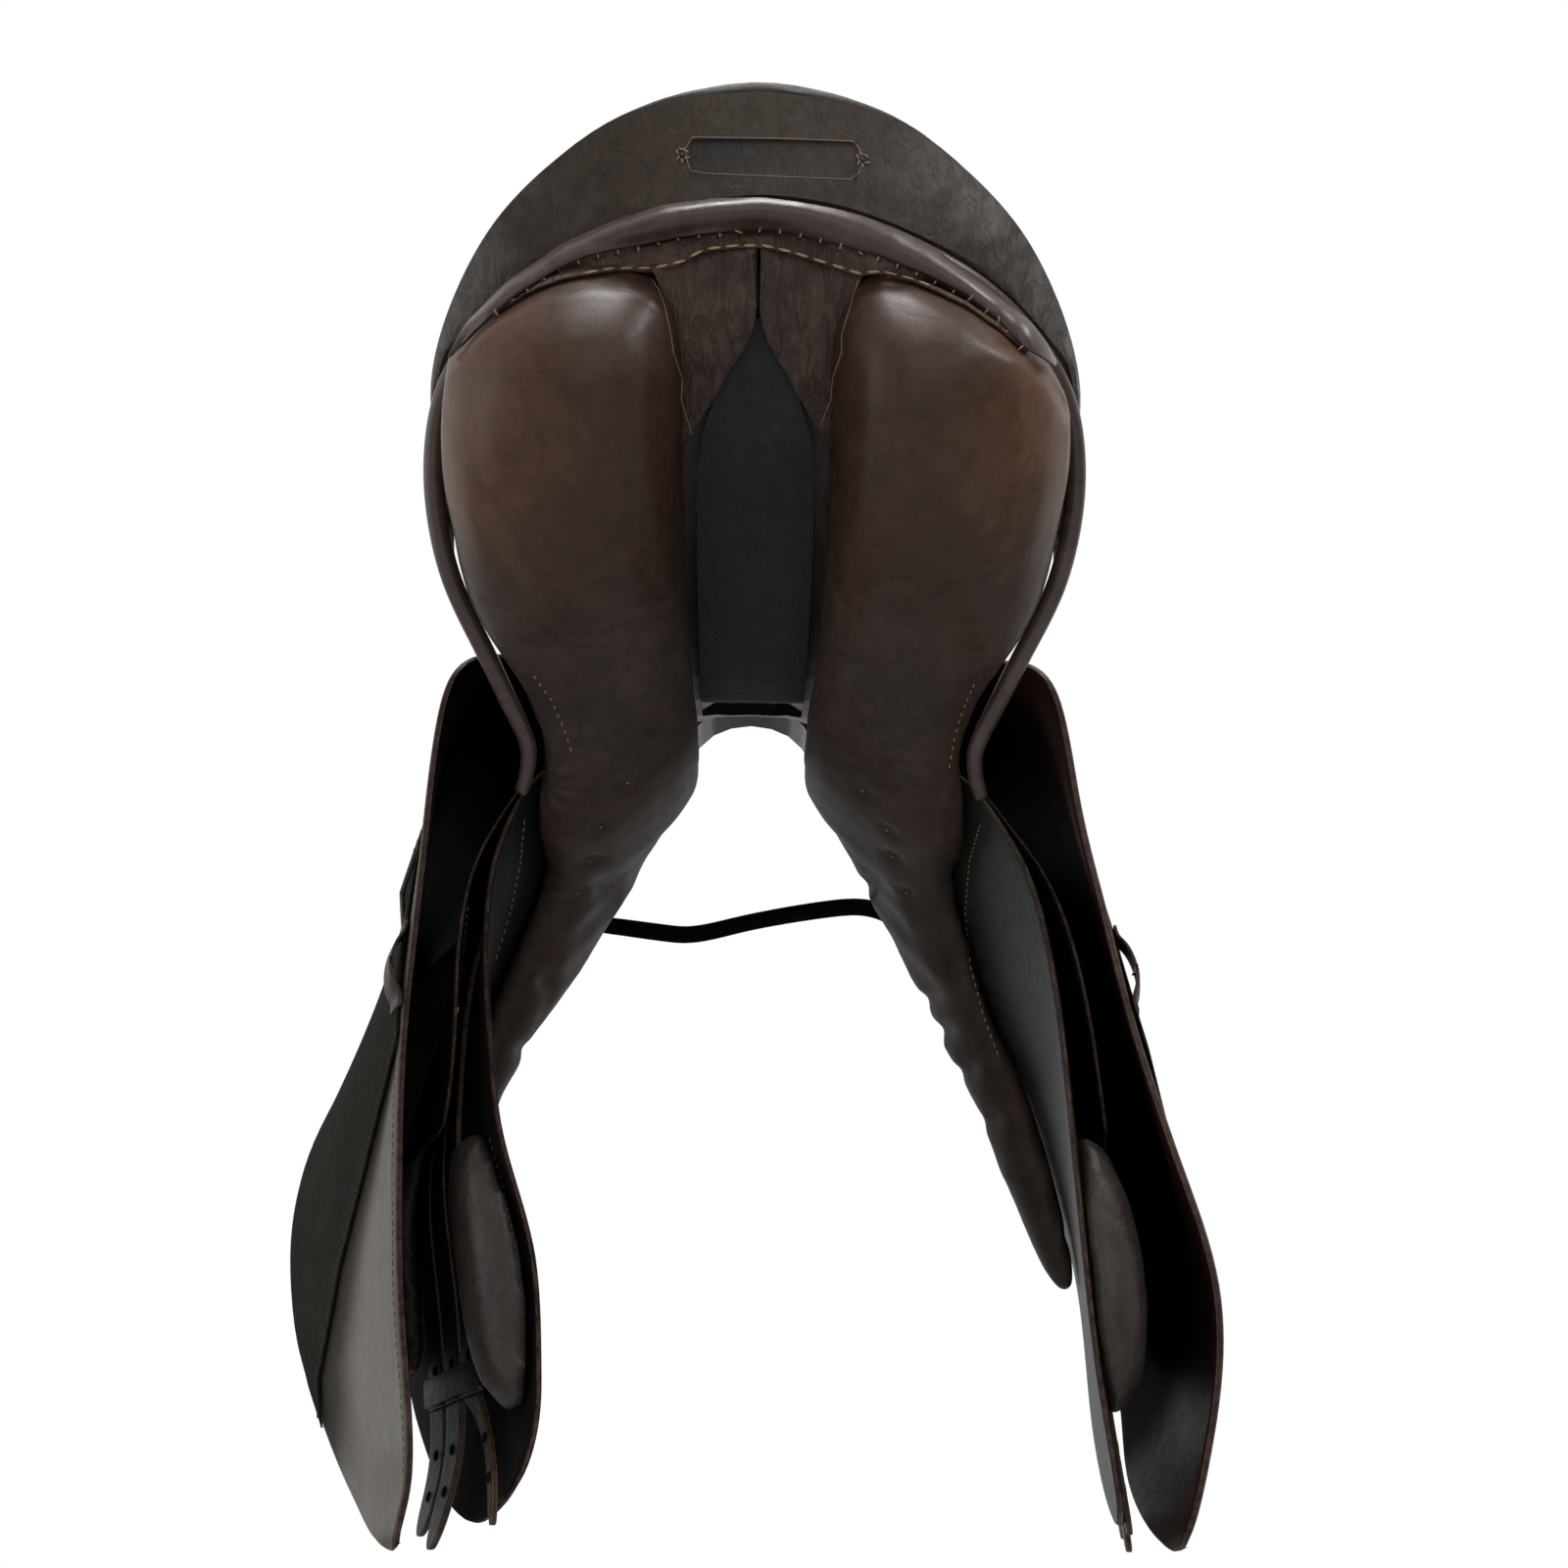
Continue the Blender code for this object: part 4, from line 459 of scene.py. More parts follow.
def creased_back_face(skin):
    """Cantle leather: brown and smooth at the left, greyer and creased at the right, dark in the recess. Both
    upper ends are painted lighter, pale grey at the right, as a painted highlight.
    """
    brown = (0.032, 0.0225, 0.0165)
    rim_round_recess = 0.0015
    material, tree, face, _ = leather("cantle_hide", brown, (0.058, 0.048, 0.042), 0.42, wear=0.75,
                                      wear_scale=10.0, grain=(900.0, 0.00005), crease=(150.0, 0.0002),
                                      stretch=(1.0, 0.5, 0.32), shine=0.19)
    split = wire(tree, "ShaderNodeSeparateXYZ", {0: object_place(tree)}).outputs
    # Painted highlight: this mask lightens the upper right end towards pale grey and the upper left end a
    # little, and deepens the creases there.
    right = ranged(tree, split["X"], 0.04, 0.155, smooth=True)
    left = ranged(tree, split["X"], -0.06, -0.15, last=0.4, smooth=True)
    high_up = ranged(tree, split["Z"], 0.08, 0.12, smooth=True)
    aside = reckon(tree, "MULTIPLY", reckon(tree, "ADD", right, left), high_up)
    # Dye and worn dye both turn pale under the painted highlight.
    dyed = tinted(tree, aside, brown, (0.085, 0.076, 0.071))
    worn = tinted(tree, aside, (0.042, 0.033, 0.027), (0.27, 0.25, 0.24))
    inside = 1.0
    for axis, first, last in (("X", (702, 160), (880, 160)), ("Z", (790, 182), (790, 140))):
        low, high = (seen_on(skin, *point)[0]["XYZ".index(axis)] for point in (first, last))
        half = (high - low) / 2
        away = reckon(tree, "ABSOLUTE", reckon(tree, "SUBTRACT", split[axis], (low + high) / 2))
        inside = reckon(tree, "MULTIPLY", ranged(tree, away, half, half - rim_round_recess), inside)
    join(tree, face, {"Dye": tinted(tree, inside, dyed, (0.019, 0.0165, 0.0145)), "Worn Dye": worn,
                      "Crease Depth": reckon(tree, "MULTIPLY_ADD", aside, 0.0006, 0.00012)})
    matted(material, 0.6)
    return material


fit(cantle_hide, "seat_leather", "cantle_back", creased_back_face(surface_of(cantle_hide)))


# Welt: a rolled tube of plum leather over cord, round the panel's upper edge from waist to waist,
# its two ends turned in and tacked down.
plum_face = leather("waxed_plum_hide", (0.046, 0.029, 0.025), (0.075, 0.052, 0.045), 0.3, wear=0.6,
                    wear_scale=18.0, grain=(1000.0, 0.00002), crease=(40.0, 0.00004), shine=0.26,
                    coat=0.08)[0]
welt_roll = cut_from("welt", "welt_roll")
finish_modifier(welt_roll, "SUBSURF", levels=2, render_levels=2)
smooth_faces(welt_roll)
fit(welt_roll, "plum_leather", "welt", plum_face)


# Gullet: one leaf of thin lining skin glued under the webs, coming to a point under the cantle,
# with a strip of the same skin round the underside of the head arch.
# The skin's dark greenish grey is its dark brown with a painted cast of reflected light.
lining_face = leather("gullet_lining_skin", (0.014, 0.0155, 0.0145), (0.022, 0.024, 0.022), 0.5, wear=0.4,
                      crease=(140.0, 0.00015), grain=(1300.0, 0.00004), shine=0.12)[0]
lining = cut_from("gullet_lining", "gullet_lining_leaf")
finish_modifier(lining, "SUBSURF", subdivision_type="SIMPLE", levels=3, render_levels=3)
arch_half_width, arch_blend = 0.048, 0.026
sight_back, sight_low, sight_slope = 0.894, 0.463, 0.545
tip_lift = 0.0118
places, _ = corners(lining)
arched = eased((arch_half_width - np.abs(places[:, 0])) / arch_blend) * (places[:, 1] > 0.0)
below_sight = np.maximum((places[:, 1] + sight_back) * sight_slope - sight_low - places[:, 2], 0.0)
places[:, 2] += below_sight * arched
_, down = in_picture(places)
places += np.outer(tip_lift * eased((450 - down) / 100), np.array(turn)[:, 1])
move_corners(lining, places)
smooth_faces(lining, 40)
fit(lining, "lining", "gullet_lining", lining_face)
arch_skin = cut_from("arch_facing", "arch_facing_skin")
finish_modifier(arch_skin, "SUBSURF", subdivision_type="SIMPLE", levels=2, render_levels=2)
smooth_faces(arch_skin, 40)
fit(arch_skin, "plum_leather", "arch_facing", plum_face)


# Rear gussets: soft leather gathered between the two panels under the welt, one each side of the
# middle seam, wrinkled where it is drawn to that seam and tucked in behind the bulbs.
gusset_face = leather("gusset_hide", (0.036, 0.022, 0.018), (0.07, 0.045, 0.034), 0.4, wear=0.8,
                      wear_scale=30.0, crease=(170.0, 0.0005), stretch=(1.0, 0.4, 0.3))[0]
wrinkle_height = 0.0007
tuck_width, tuck_depth = 0.011, 0.003
gussets = {}
for side in ("left", "right"):
    gusset = cut_from(f"rear_gusset_{side}", f"gusset_hide_{side}")
    finish_modifier(gusset, "SUBSURF", levels=3, render_levels=3)
    places, normals = corners(gusset)
    tucked = eased((np.abs(places[:, 0]) - 0.018) / 0.016)
    places[:, 0] += np.sign(places[:, 0]) * tuck_width * tucked
    places[:, 1] += tuck_depth * tucked
    drawn = np.abs(ripple(places * (1.0, 0.5, 0.3), 620.0, 3)) ** 0.7 - 0.5
    move_corners(gusset, places + normals * (wrinkle_height * drawn)[:, None])
    smooth_faces(gusset, 50)
    fit(gusset, "panel_leather", f"rear_gusset_{side}", gusset_face)
    gussets[side] = gusset
face_of("cantle_block", gusset_face)


# Panels: leather bags stuffed with wool flock, full at the rear and thin and channelled down the front.
# Tufts drawn through the flock leave dimples, and the leather puckers where the welt turns in.
def swell(piece, voxel, shrink, pressure, cap):
    """Blows a closed bag up by cloth simulation, no vertex moving further than the cap."""
    finish_modifier(piece, "REMESH", mode="VOXEL", voxel_size=voxel, use_smooth_shade=True)
    places, normals = corners(piece)
    start = places - normals * shrink
    move_corners(piece, start)
    choose(piece)
    cloth = piece.modifiers.new("cloth", "CLOTH")
    cloth.settings.use_pressure = True
    cloth.settings.uniform_pressure_force = pressure
    cloth.settings.effector_weights.gravity = 0.0
    cloth.settings.quality = 4
    for step in range(1, 21):
        bpy.context.scene.frame_set(step)
    bpy.ops.object.modifier_apply(modifier="cloth")
    bpy.context.scene.frame_set(1)
    swollen, _ = corners(piece)
    moved = swollen - start
    length = np.linalg.norm(moved, axis=1)
    moved *= (np.minimum(length, cap) / np.maximum(length, 1e-9))[:, None]
    move_corners(piece, start + moved)
    finish_modifier(piece, "SMOOTH", factor=0.5, iterations=6)
    finish_modifier(piece, "SUBSURF", levels=1, render_levels=1)


def warm_panel_face():
    """Panel hide: plum brown, rubbed to a warm tan brown on the fullest part of each bulb."""
    plum, worn_plum = (0.036, 0.0185, 0.0132), (0.048, 0.027, 0.02)
    fullest_part = (0.134, -0.18, 0.078)
    material, tree, face, _ = leather("panel_hide", plum, worn_plum, 0.36, wear=0.6, wear_scale=11.0,
                                      grain=(1000.0, 0.00002), crease=(24.0, 0.00005), shine=0.2)
    place = object_place(tree)
    split = wire(tree, "ShaderNodeSeparateXYZ", {0: place}).outputs
    folded = wire(tree, "ShaderNodeCombineXYZ", {0: reckon(tree, "ABSOLUTE", split["X"]), 1: split["Y"],
                                                 2: split["Z"]})
    from_bulb = wire(tree, "ShaderNodeVectorMath", {0: folded.outputs[0], 1: fullest_part},
                     operation="DISTANCE")
    blurred = reckon(tree, "MULTIPLY_ADD", noise(tree, place, 16.0, 3.0), 0.07, from_bulb.outputs["Value"])
    rubbed = ranged(tree, blurred, 0.12, 0.045, smooth=True)
    forward = ranged(tree, split["Y"], -0.17, -0.06, smooth=True)
    dyed = tinted(tree, rubbed, plum, (0.082, 0.037, 0.0165))
    join(tree, face, {"Dye": tinted(tree, forward, dyed, (0.034, 0.0255, 0.0218)),
                      "Worn Dye": tinted(tree, rubbed, worn_plum, (0.11, 0.053, 0.026))})
    matted(material, ranged(tree, split["Y"], -0.14, 0.0, 0.85, 0.35))
    return material


panel_face = warm_panel_face()
tufts = {"left": ((613, 845), (602, 880), (590, 913), (640, 800)),
         "right": ((905, 848), (910, 875), (925, 912), (880, 808))}
notches = {"left": ((560, 1003), (540, 1072), (618, 905)),
           "right": ((878, 905), (945, 1020), (960, 1052), (985, 1092), (1010, 1142), (1045, 1202),
                     (1075, 1262))}
puckers = {"left": ((556, 792), (528, 838)), "right": ((986, 782), (1012, 838))}
bulb_tops = {"left": ((428, 470), (440, 410), (449, 388), (461, 368), (483, 342), (506, 318), (548, 300),
                      (575, 292), (601, 287), (641, 288), (665, 296), (685, 314), (700, 345), (716, 430)),
             "right": ((828, 430), (843, 345), (858, 316), (876, 298), (901, 287), (932, 295), (960, 308),
                       (985, 324), (1010, 344), (1044, 362), (1068, 388), (1090, 428), (1106, 480))}
bulb_middles = {"left": (574, 148), "right": (962, 146)}
flank_fullness, flank_at, flank_run = 0.006, -0.078, 0.05
top_lean, bulb_fullness = 0.009, 0.014
tuft_depth, tuft_reach = 0.0026, 0.0065
notch_depth, notch_reach = 0.0034, 13
pucker_height, pucker_reach = 0.0009, 0.02
flock_lumps = 0.0004
panels = {}
for side in ("left", "right"):
    bag = cut_from(f"panel_{side}", f"flocked_panel_{side}")
    swell(bag, 0.005, 0.0014, 4.0, 0.003)
    places, normals = corners(bag)
    # The flank fills out to the welt
    outward = np.sign(places[:, 0]) * eased((np.abs(places[:, 0]) - 0.07) / 0.07)
    places[:, 0] += flank_fullness * outward * np.exp(-((places[:, 1] - flank_at) / flank_run) ** 2)
    # The bulb's top leans in under the facing and ends at it
    across, down = in_picture(places)
    tops = np.array(bulb_tops[side])
    top_line = np.interp(across, tops[:, 0], tops[:, 1])
    at_back = places[:, 1] < -0.12
    sunk = eased((top_line + 14 - down) / 26) * at_back
    away_from_eye = places - np.array(eye)
    away_from_eye /= np.linalg.norm(away_from_eye, axis=1)[:, None]
    places += away_from_eye * (top_lean * sunk)[:, None]
    over = np.maximum(top_line - 10 - down, 0) * at_back
    places -= np.outer(0.7 * over * np.linalg.norm(places - np.array(eye), axis=1) / focal_pixels,
                       np.array(turn)[:, 1])
    # Its face swells towards the eye
    middle, half_width = bulb_middles[side]
    dome = np.clip(1 - ((across - middle) / half_width) ** 2 - ((down - 475) / 195) ** 2, 0, 1)
    faced = np.clip(-np.sum(normals * away_from_eye, axis=1), 0, 1) * (places[:, 1] < -0.1)
    places -= away_from_eye * (bulb_fullness * np.sin(dome * np.pi / 2) * faced)[:, None]
    move_corners(bag, places)
    surface = surface_of(bag)
    places, normals = corners(bag)
    for picture_point in tufts[side]:
        spot, _ = seen_on(surface, *picture_point)
        if spot:
            away = np.linalg.norm(places - np.array(spot), axis=1)
            places -= normals * (tuft_depth * np.exp(-(away / tuft_reach) ** 2))[:, None]
    across, down = in_picture(places)
    for picture_point in notches[side]:
        away = np.hypot(across - picture_point[0], (down - picture_point[1]) * 1.3)
        dent = np.exp(-(away / notch_reach) ** 2) * (places[:, 1] > -0.12)
        places -= normals * (notch_depth * dent)[:, None]
    for picture_point in puckers[side]:
        spot, facing = seen_on(surface, *picture_point)
        if spot:
            reach = places - np.array(spot)
            away = np.linalg.norm(reach, axis=1)
            along = np.array(facing.orthogonal().normalized())
            level = np.array(facing.cross(Vector(along)))
            angle = np.arctan2(reach @ along, reach @ level)
            fold = np.cos(11 * angle + 3 * ripple(places, 60.0, 5)) * np.exp(-(away / pucker_reach) ** 2)
            places += normals * (pucker_height * fold * np.minimum(away / 0.004, 1.0))[:, None]
    places += normals * (flock_lumps * ripple(places, 55.0, 8))[:, None]
    move_corners(bag, places)
    smooth_faces(bag)
    fit(bag, "panel_leather", f"panel_{side}", panel_face)
    panels[side] = bag


# Facing: a strip of panel hide between the welt and the bulbs. Waxed linen laces it over the welt's
# seam, and a row of backstitch holds its lower edge to the gussets.
def picture_line(points, count):
    """Evenly spread picture points along a line of them."""
    line = np.array(points, float)
    length = np.concatenate([[0], np.cumsum(np.linalg.norm(np.diff(line, axis=0), axis=1))])
    at = np.linspace(0, length[-1], count)
    return np.column_stack([np.interp(at, length, line[:, 0]), np.interp(at, length, line[:, 1])])


def lowered(line, amount):
    """A line of picture points, moved down the picture."""
    return tuple((across, down + amount) for across, down in line)


def cast_between(surface, upper, lower, shares, missed=0.0):
    """Distances from the eye to a surface under rows of points between two picture lines."""
    reach = np.zeros((len(shares), len(upper)))
    for row, share in enumerate(shares):
        for column in range(len(upper)):
            point = upper[column] + (lower[column] - upper[column]) * share
            _, _, _, distance = surface.ray_cast(eye, pixel_ray(*point))
            reach[row, column] = distance or reach[row, max(column - 1, 0)] or missed
    return reach


def strip_between(name, upper, lower, shares, reach, thickness):
    """A strip of leather stretched between two picture lines, at given distances from the eye."""
    rows, columns = reach.shape
    grid = [eye + pixel_ray(*(upper[c] + (lower[c] - upper[c]) * shares[r])) * reach[r, c]
            for r in range(rows) for c in range(columns)]
    mesh = bpy.data.meshes.new(name)
    mesh.from_pydata(grid, [], [(r * columns + c, r * columns + c + 1, (r + 1) * columns + c + 1,
                                 (r + 1) * columns + c) for r in range(rows - 1) for c in range(columns - 1)])
    strip = bpy.data.objects.new(name, mesh)
    bpy.context.scene.collection.objects.link(strip)
    finish_modifier(strip, "SOLIDIFY", thickness=thickness, offset=-1.0)
    bpy.ops.object.mode_set(mode="EDIT")
    bpy.ops.mesh.select_all(action="SELECT")
    bpy.ops.mesh.normals_make_consistent(inside=False)
    bpy.ops.object.mode_set(mode="OBJECT")
    return strip


def fasten(piece, material):
    """Gives an added piece, which stands for no solid, its material and attaches it to the saddle."""
    piece.data.materials.append(material)
    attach(piece, "saddle")


welt_foot = ((505, 319), (528, 300), (549, 287), (572, 273), (597, 262), (622, 256), (650, 251), (690, 243),
             (720, 239), (747, 236), (769, 234), (790, 235), (808, 238), (848, 248), (875, 255), (901, 262),
             (945, 280), (985, 300), (1020, 328), (1048, 358))
backstitch = ((602, 278), (624, 274), (668, 273), (694, 267), (720, 254), (747, 251), (778, 250), (808, 257),
              (830, 264), (852, 271), (874, 278), (901, 277), (932, 285), (952, 293))
facing_foot = (((505, 321), (548, 296), (575, 286), (602, 281)) + lowered(backstitch[1:-1], 3.5)
               + ((952, 297), (985, 313), (1020, 337), (1048, 361)))
skin_thickness = 0.0014
facing_stand_off = 0.0022
upper = picture_line(welt_foot, 90)
lower = picture_line(facing_foot, 90)
shares = [row / 4 * 1.08 - 0.08 for row in range(5)]
behind = surface_of(panels["left"], panels["right"], frame["nodes"]["cantle_block"], gussets["left"],
                    gussets["right"])
reach = cast_between(behind, upper, lower, shares)
for _ in range(6):
    reach = (np.roll(reach, 1, 1) + np.roll(reach, -1, 1) + 2 * reach) / 4
    reach[:, 0] = reach[:, 1]
    reach[:, -1] = reach[:, -2]
facing_strip = strip_between("facing_strip", upper, lower, shares, reach - facing_stand_off, skin_thickness)
finish_modifier(facing_strip, "BEVEL", width=0.0004, segments=2)
finish_modifier(facing_strip, "SUBSURF", levels=1, render_levels=1)
smooth_faces(facing_strip, 50)
fasten(facing_strip, gusset_face)


# Welt fold: the plum leather of the welt, turned down over the facing in a wide soft fold that
# narrows to a point beside each bulb. Its lower edge is what the lacing holds.
welt_crest = ((457, 363), (478, 330), (518, 289), (575, 250), (624, 228), (676, 211), (729, 204), (778, 203),
              (817, 208), (870, 222), (914, 235), (949, 252), (980, 274), (1015, 301), (1050, 329),
              (1066, 350), (1077, 371))
welt_lap = ((459, 366), (483, 340)) + welt_foot + ((1064, 367), (1076, 376))
count = 140
steepest = 0.0009
edge_stand_off, fold_fullness = 0.0012, 0.0052
upper = picture_line(welt_crest, count)
lower = picture_line(welt_lap, count)
shares = np.linspace(0, 1, 9)
behind = surface_of(panels["left"], panels["right"], frame["nodes"]["cantle_block"], cantle_hide, welt_roll,
                    facing_strip)
reach = cast_between(behind, upper, lower, shares, missed=0.9)
reach[0] = np.minimum(reach[0], reach[-1] + 0.012)
reach = np.minimum(reach, shares[:, None] * (reach[-1] - reach[0]) + reach[0])
for column in range(90, count):
    reach[:, column] = np.minimum(reach[:, column], reach[:, column - 1] + steepest)
for column in range(49, -1, -1):
    reach[:, column] = np.minimum(reach[:, column], reach[:, column + 1] + steepest)
for _ in range(8):
    reach[:, 1:-1] = (reach[:, :-2] + reach[:, 2:] + 2 * reach[:, 1:-1]) / 4
taper = np.clip(np.minimum(np.arange(count), count - 1 - np.arange(count)) / 12, 0, 1)
crown = [math.sin(math.pi * min(share + 0.06, 1.0)) ** 0.7 for share in shares]
raised = edge_stand_off + fold_fullness * np.outer(crown, taper)
welt_fold = strip_between("welt_fold", upper, lower, shares, reach - raised, skin_thickness)
finish_modifier(welt_fold, "SMOOTH", factor=0.5, iterations=3)
smooth_faces(welt_fold, 60)
fasten(welt_fold, plum_face)


# Lacing and stitches of the panels: waxed tan linen that laces the welt down and backstitches the
# facing, the rubbed seams beside the gussets, and the knots that tie the tufts down.
def thread_face(name, dye):
    material, tree, shader = new_material(name)
    strands = noise(tree, object_place(tree), 1500.0, 2.0)
    tone = tinted(tree, strands, tuple(0.5 * c for c in dye), tuple(1.4 * c for c in dye))
    dress(tree, shader, {"Base Color": tone, "Roughness": 0.6, "Specular IOR Level": 0.25}, strands, 0.0002)
    return material


tan_thread = thread_face("waxed_tan_thread", (0.34, 0.215, 0.11))
dark_thread = thread_face("waxed_dark_thread", (0.03, 0.022, 0.019))
seam_edge = thread_face("rubbed_seam_edge", (0.2, 0.13, 0.09))
awl_hole = thread_face("awl_hole", (0.004, 0.003, 0.002))


def on_picture(surface, line):
    """Places and normals on a surface under a line of picture points, close together."""
    line = np.array(line, float)
    length = np.linalg.norm(np.diff(line, axis=0), axis=1).sum()
    found = [seen_on(surface, *point) for point in picture_line(line, max(int(length / 1.5), 4))]
    return [(place, normal) for place, normal in found if place]


def sew(name, spots, body, thread, stitch, turned=0.0):
    """One row of stitches, all in one piece, each a small rounded bead turned to the row's direction.

    A stitch is its pitch, length, width and height. A row breaks where its spots lie far apart."""
    pitch, long, wide, high = stitch
    longest_step = 0.02
    bpy.ops.mesh.primitive_uv_sphere_add(segments=8, ring_count=5, radius=0.5)
    bead = bpy.context.object
    bpy.ops.object.mode_set(mode="EDIT")
    bpy.ops.mesh.select_all(action="SELECT")
    bpy.ops.transform.resize(value=(long, wide, high))
    bpy.ops.object.mode_set(mode="OBJECT")
    shape = [v.co.copy() for v in bead.data.vertices]
    faces = [list(polygon.vertices) for polygon in bead.data.polygons]
    bpy.data.objects.remove(bead)
    places = []
    rows = []
    gone = pitch
    for k in range(1, len(spots)):
        step = spots[k][0] - spots[k - 1][0]
        gone += step.length
        if gone < pitch or step.length > longest_step:
            continue
        gone = 0.0
        place, normal = spots[k]
        along = (step - normal * step.dot(normal)).normalized()
        along = Matrix.Rotation(math.radians(turned), 3, normal) @ along
        basis = Matrix((along, normal.cross(along), normal)).transposed()
        start = len(places)
        places += [place + basis @ corner + normal * (high * 0.2) for corner in shape]
        rows += [[start + corner for corner in face] for face in faces]
    mesh = bpy.data.meshes.new(name)
    mesh.from_pydata(places, [], rows)
    mesh.shade_smooth()
    row = bpy.data.objects.new(name, mesh)
    bpy.context.scene.collection.objects.link(row)
    row.data.materials.append(thread)
    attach(row, body)


upholstery = surface_of(welt_fold, facing_strip, panels["left"], panels["right"], gussets["left"],
                        gussets["right"])
gusset_edge = (0.0012, 0.0022, 0.0006, 0.0006)
waist_stitch = (0.0052, 0.0026, 0.0006, 0.0005)
for name, thread, line, stitch, turned in (
        ("facing_backstitch", tan_thread, backstitch, (0.0082, 0.0068, 0.0013, 0.0008), 0.0),
        ("welt_lacing", tan_thread, lowered(welt_foot, 1.0), (0.0092, 0.0056, 0.0011, 0.0008), 86.0),
        ("welt_lacing_holes", awl_hole, lowered(welt_foot, 5.0), (0.0092, 0.0026, 0.0014, 0.0004), 0.0),
        ("welt_foot_seam", awl_hole, lowered(welt_foot, -0.5), (0.0012, 0.0022, 0.0009, 0.0004), 0.0),
        ("centre_seam", awl_hole, ((771, 254), (771, 290), (773, 326)), (0.0012, 0.0022, 0.0011, 0.0005),
         0.0),
        ("centre_awl_hole", awl_hole, ((769, 260), (770, 265)), (0.01, 0.003, 0.002, 0.0007), 0.0),
        ("gusset_seam_left", seam_edge, ((663, 281), (672, 296), (678, 312), (684, 340), (687, 360),
                                         (696, 386), (695, 408), (707, 446)), gusset_edge, 0.0),
        ("gusset_seam_right", seam_edge, ((876, 285), (872, 298), (868, 312), (859, 342), (859, 360),
                                          (850, 386), (848, 408), (838, 432)), gusset_edge, 0.0),
        ("waist_stitches_left", tan_thread, ((545, 690), (563, 715), (575, 742), (583, 766)),
         waist_stitch, 0.0),
        ("waist_stitches_right", tan_thread, ((994, 698), (981, 728), (974, 752), (969, 782)),
         waist_stitch, 0.0)):
    sew(name, on_picture(upholstery, line), "saddle", thread, stitch, turned)
for side, spots in tufts.items():
    for number, (across, down) in enumerate(spots):
        sew(f"tuft_thread_{side}_{number}", on_picture(upholstery, ((across, down - 3), (across, down + 3))),
            "saddle", tan_thread, (0.02, 0.0022, 0.0007, 0.0006), 60.0)


# Sweat flaps: stout saddle leather under the girth straps, sewn to the panel, in two plies whose
# edges are dyed, waxed and rubbed until they shine. The face against the horse is a thin dark lining,
# painted darker on the left flap as painted shade.
def cut_sheet(node, name, levels=2, rounding=0.0009):
    """Copies a packed sheet of leather, rounds its rim, and marks face, rim and back in its plies."""
    piece = cut_from(node, name)
    crease_sharp(piece)
    finish_modifier(piece, "SUBSURF", levels=levels, render_levels=levels)
    bpy.ops.object.mode_set(mode="EDIT")
    bpy.ops.mesh.select_all(action="DESELECT")
    bpy.ops.mesh.edges_select_sharp(sharpness=math.radians(50))
    bpy.ops.mesh.bevel(offset=rounding, segments=2, affect="EDGES")
    bpy.ops.object.mode_set(mode="OBJECT")
    places, normals = corners(piece)
    lean = np.radians(70) * np.clip((places[:, 2] + 0.02) / 0.07, 0, 1)
    facing = normals[:, 0] * np.sign(places[:, 0]) * np.cos(lean) + normals[:, 2] * np.sin(lean)
    plies = piece.data.attributes.new("plies", "FLOAT", "POINT")
    plies.data.foreach_set("value", (0.5 + 0.5 * np.clip(facing / 0.5, -1, 1)).astype(np.float32))
    smooth_faces(piece, 50)
    return piece


def two_sided(name, outer, inner, edge, gloss, shine=0.17, inner_shine=0.1, **more):
    """Leather with one dye outside, another inside, and a burnished rim between its plies."""
    material, tree, face, shader = leather(name, outer, outer, gloss, shine=shine, **more)
    plies = wire(tree, "ShaderNodeAttribute", {}, attribute_name="plies").outputs["Fac"]
    outside = ranged(tree, plies, 0.45, 0.55)
    for socket, brighter in (("Dye", 1.0), ("Worn Dye", 1.7)):
        join(tree, face, {socket: tinted(tree, outside, tuple(brighter * c for c in inner),
                                         tuple(brighter * c for c in outer))})
    apart = reckon(tree, "ABSOLUTE", reckon(tree, "SUBTRACT", plies, 0.5))
    streaks = noise(tree, object_place(tree), 240.0, 3.0)
    depth = reckon(tree, "MULTIPLY", ranged(tree, apart, 0.0, 0.12, 0.35, 1.0),
                   ranged(tree, streaks, 0.35, 0.7, 0.5, 1.25))
    tone = tinted(tree, ranged(tree, apart, 0.46, 0.3), face.outputs["Colour"], scaled(tree, edge, depth))
    join(tree, shader, {"Base Color": tone,
                        "Specular IOR Level": ranged(tree, outside, first=inner_shine, last=shine)})
    return material


def drawn_in(places):
    """Draws what hangs low on the left in towards the horse."""
    places[:, 0] += 0.0065 * eased((-0.2 - places[:, 2]) / 0.08)


# The left flap's medial dye is half the right one's: painted shade on that side.
sweat_faces = {side: two_sided(f"sweat_flap_hide_{side}", (0.006, 0.005, 0.0045), medial,
                               (0.085, 0.05, 0.037), 0.48, wear=0.5, wear_scale=9.0,
                               grain=(1000.0, 0.00003), crease=(40.0, 0.00005), shine=0.05)
               for side, medial in (("left", (0.009, 0.009, 0.008)), ("right", (0.018, 0.018, 0.016)))}
matted(sweat_faces["left"], 0.35)
sweat_flaps = {}
for side in ("left", "right"):
    sweat_flaps[side] = cut_sheet(f"sweat_flap_{side}", f"sweat_flap_hide_{side}")
    if side == "left":
        places, _ = corners(sweat_flaps[side])
        drawn_in(places)
        move_corners(sweat_flaps[side], places)
    fit(sweat_flaps[side], "flap_leather", f"sweat_flap_{side}", sweat_faces[side])


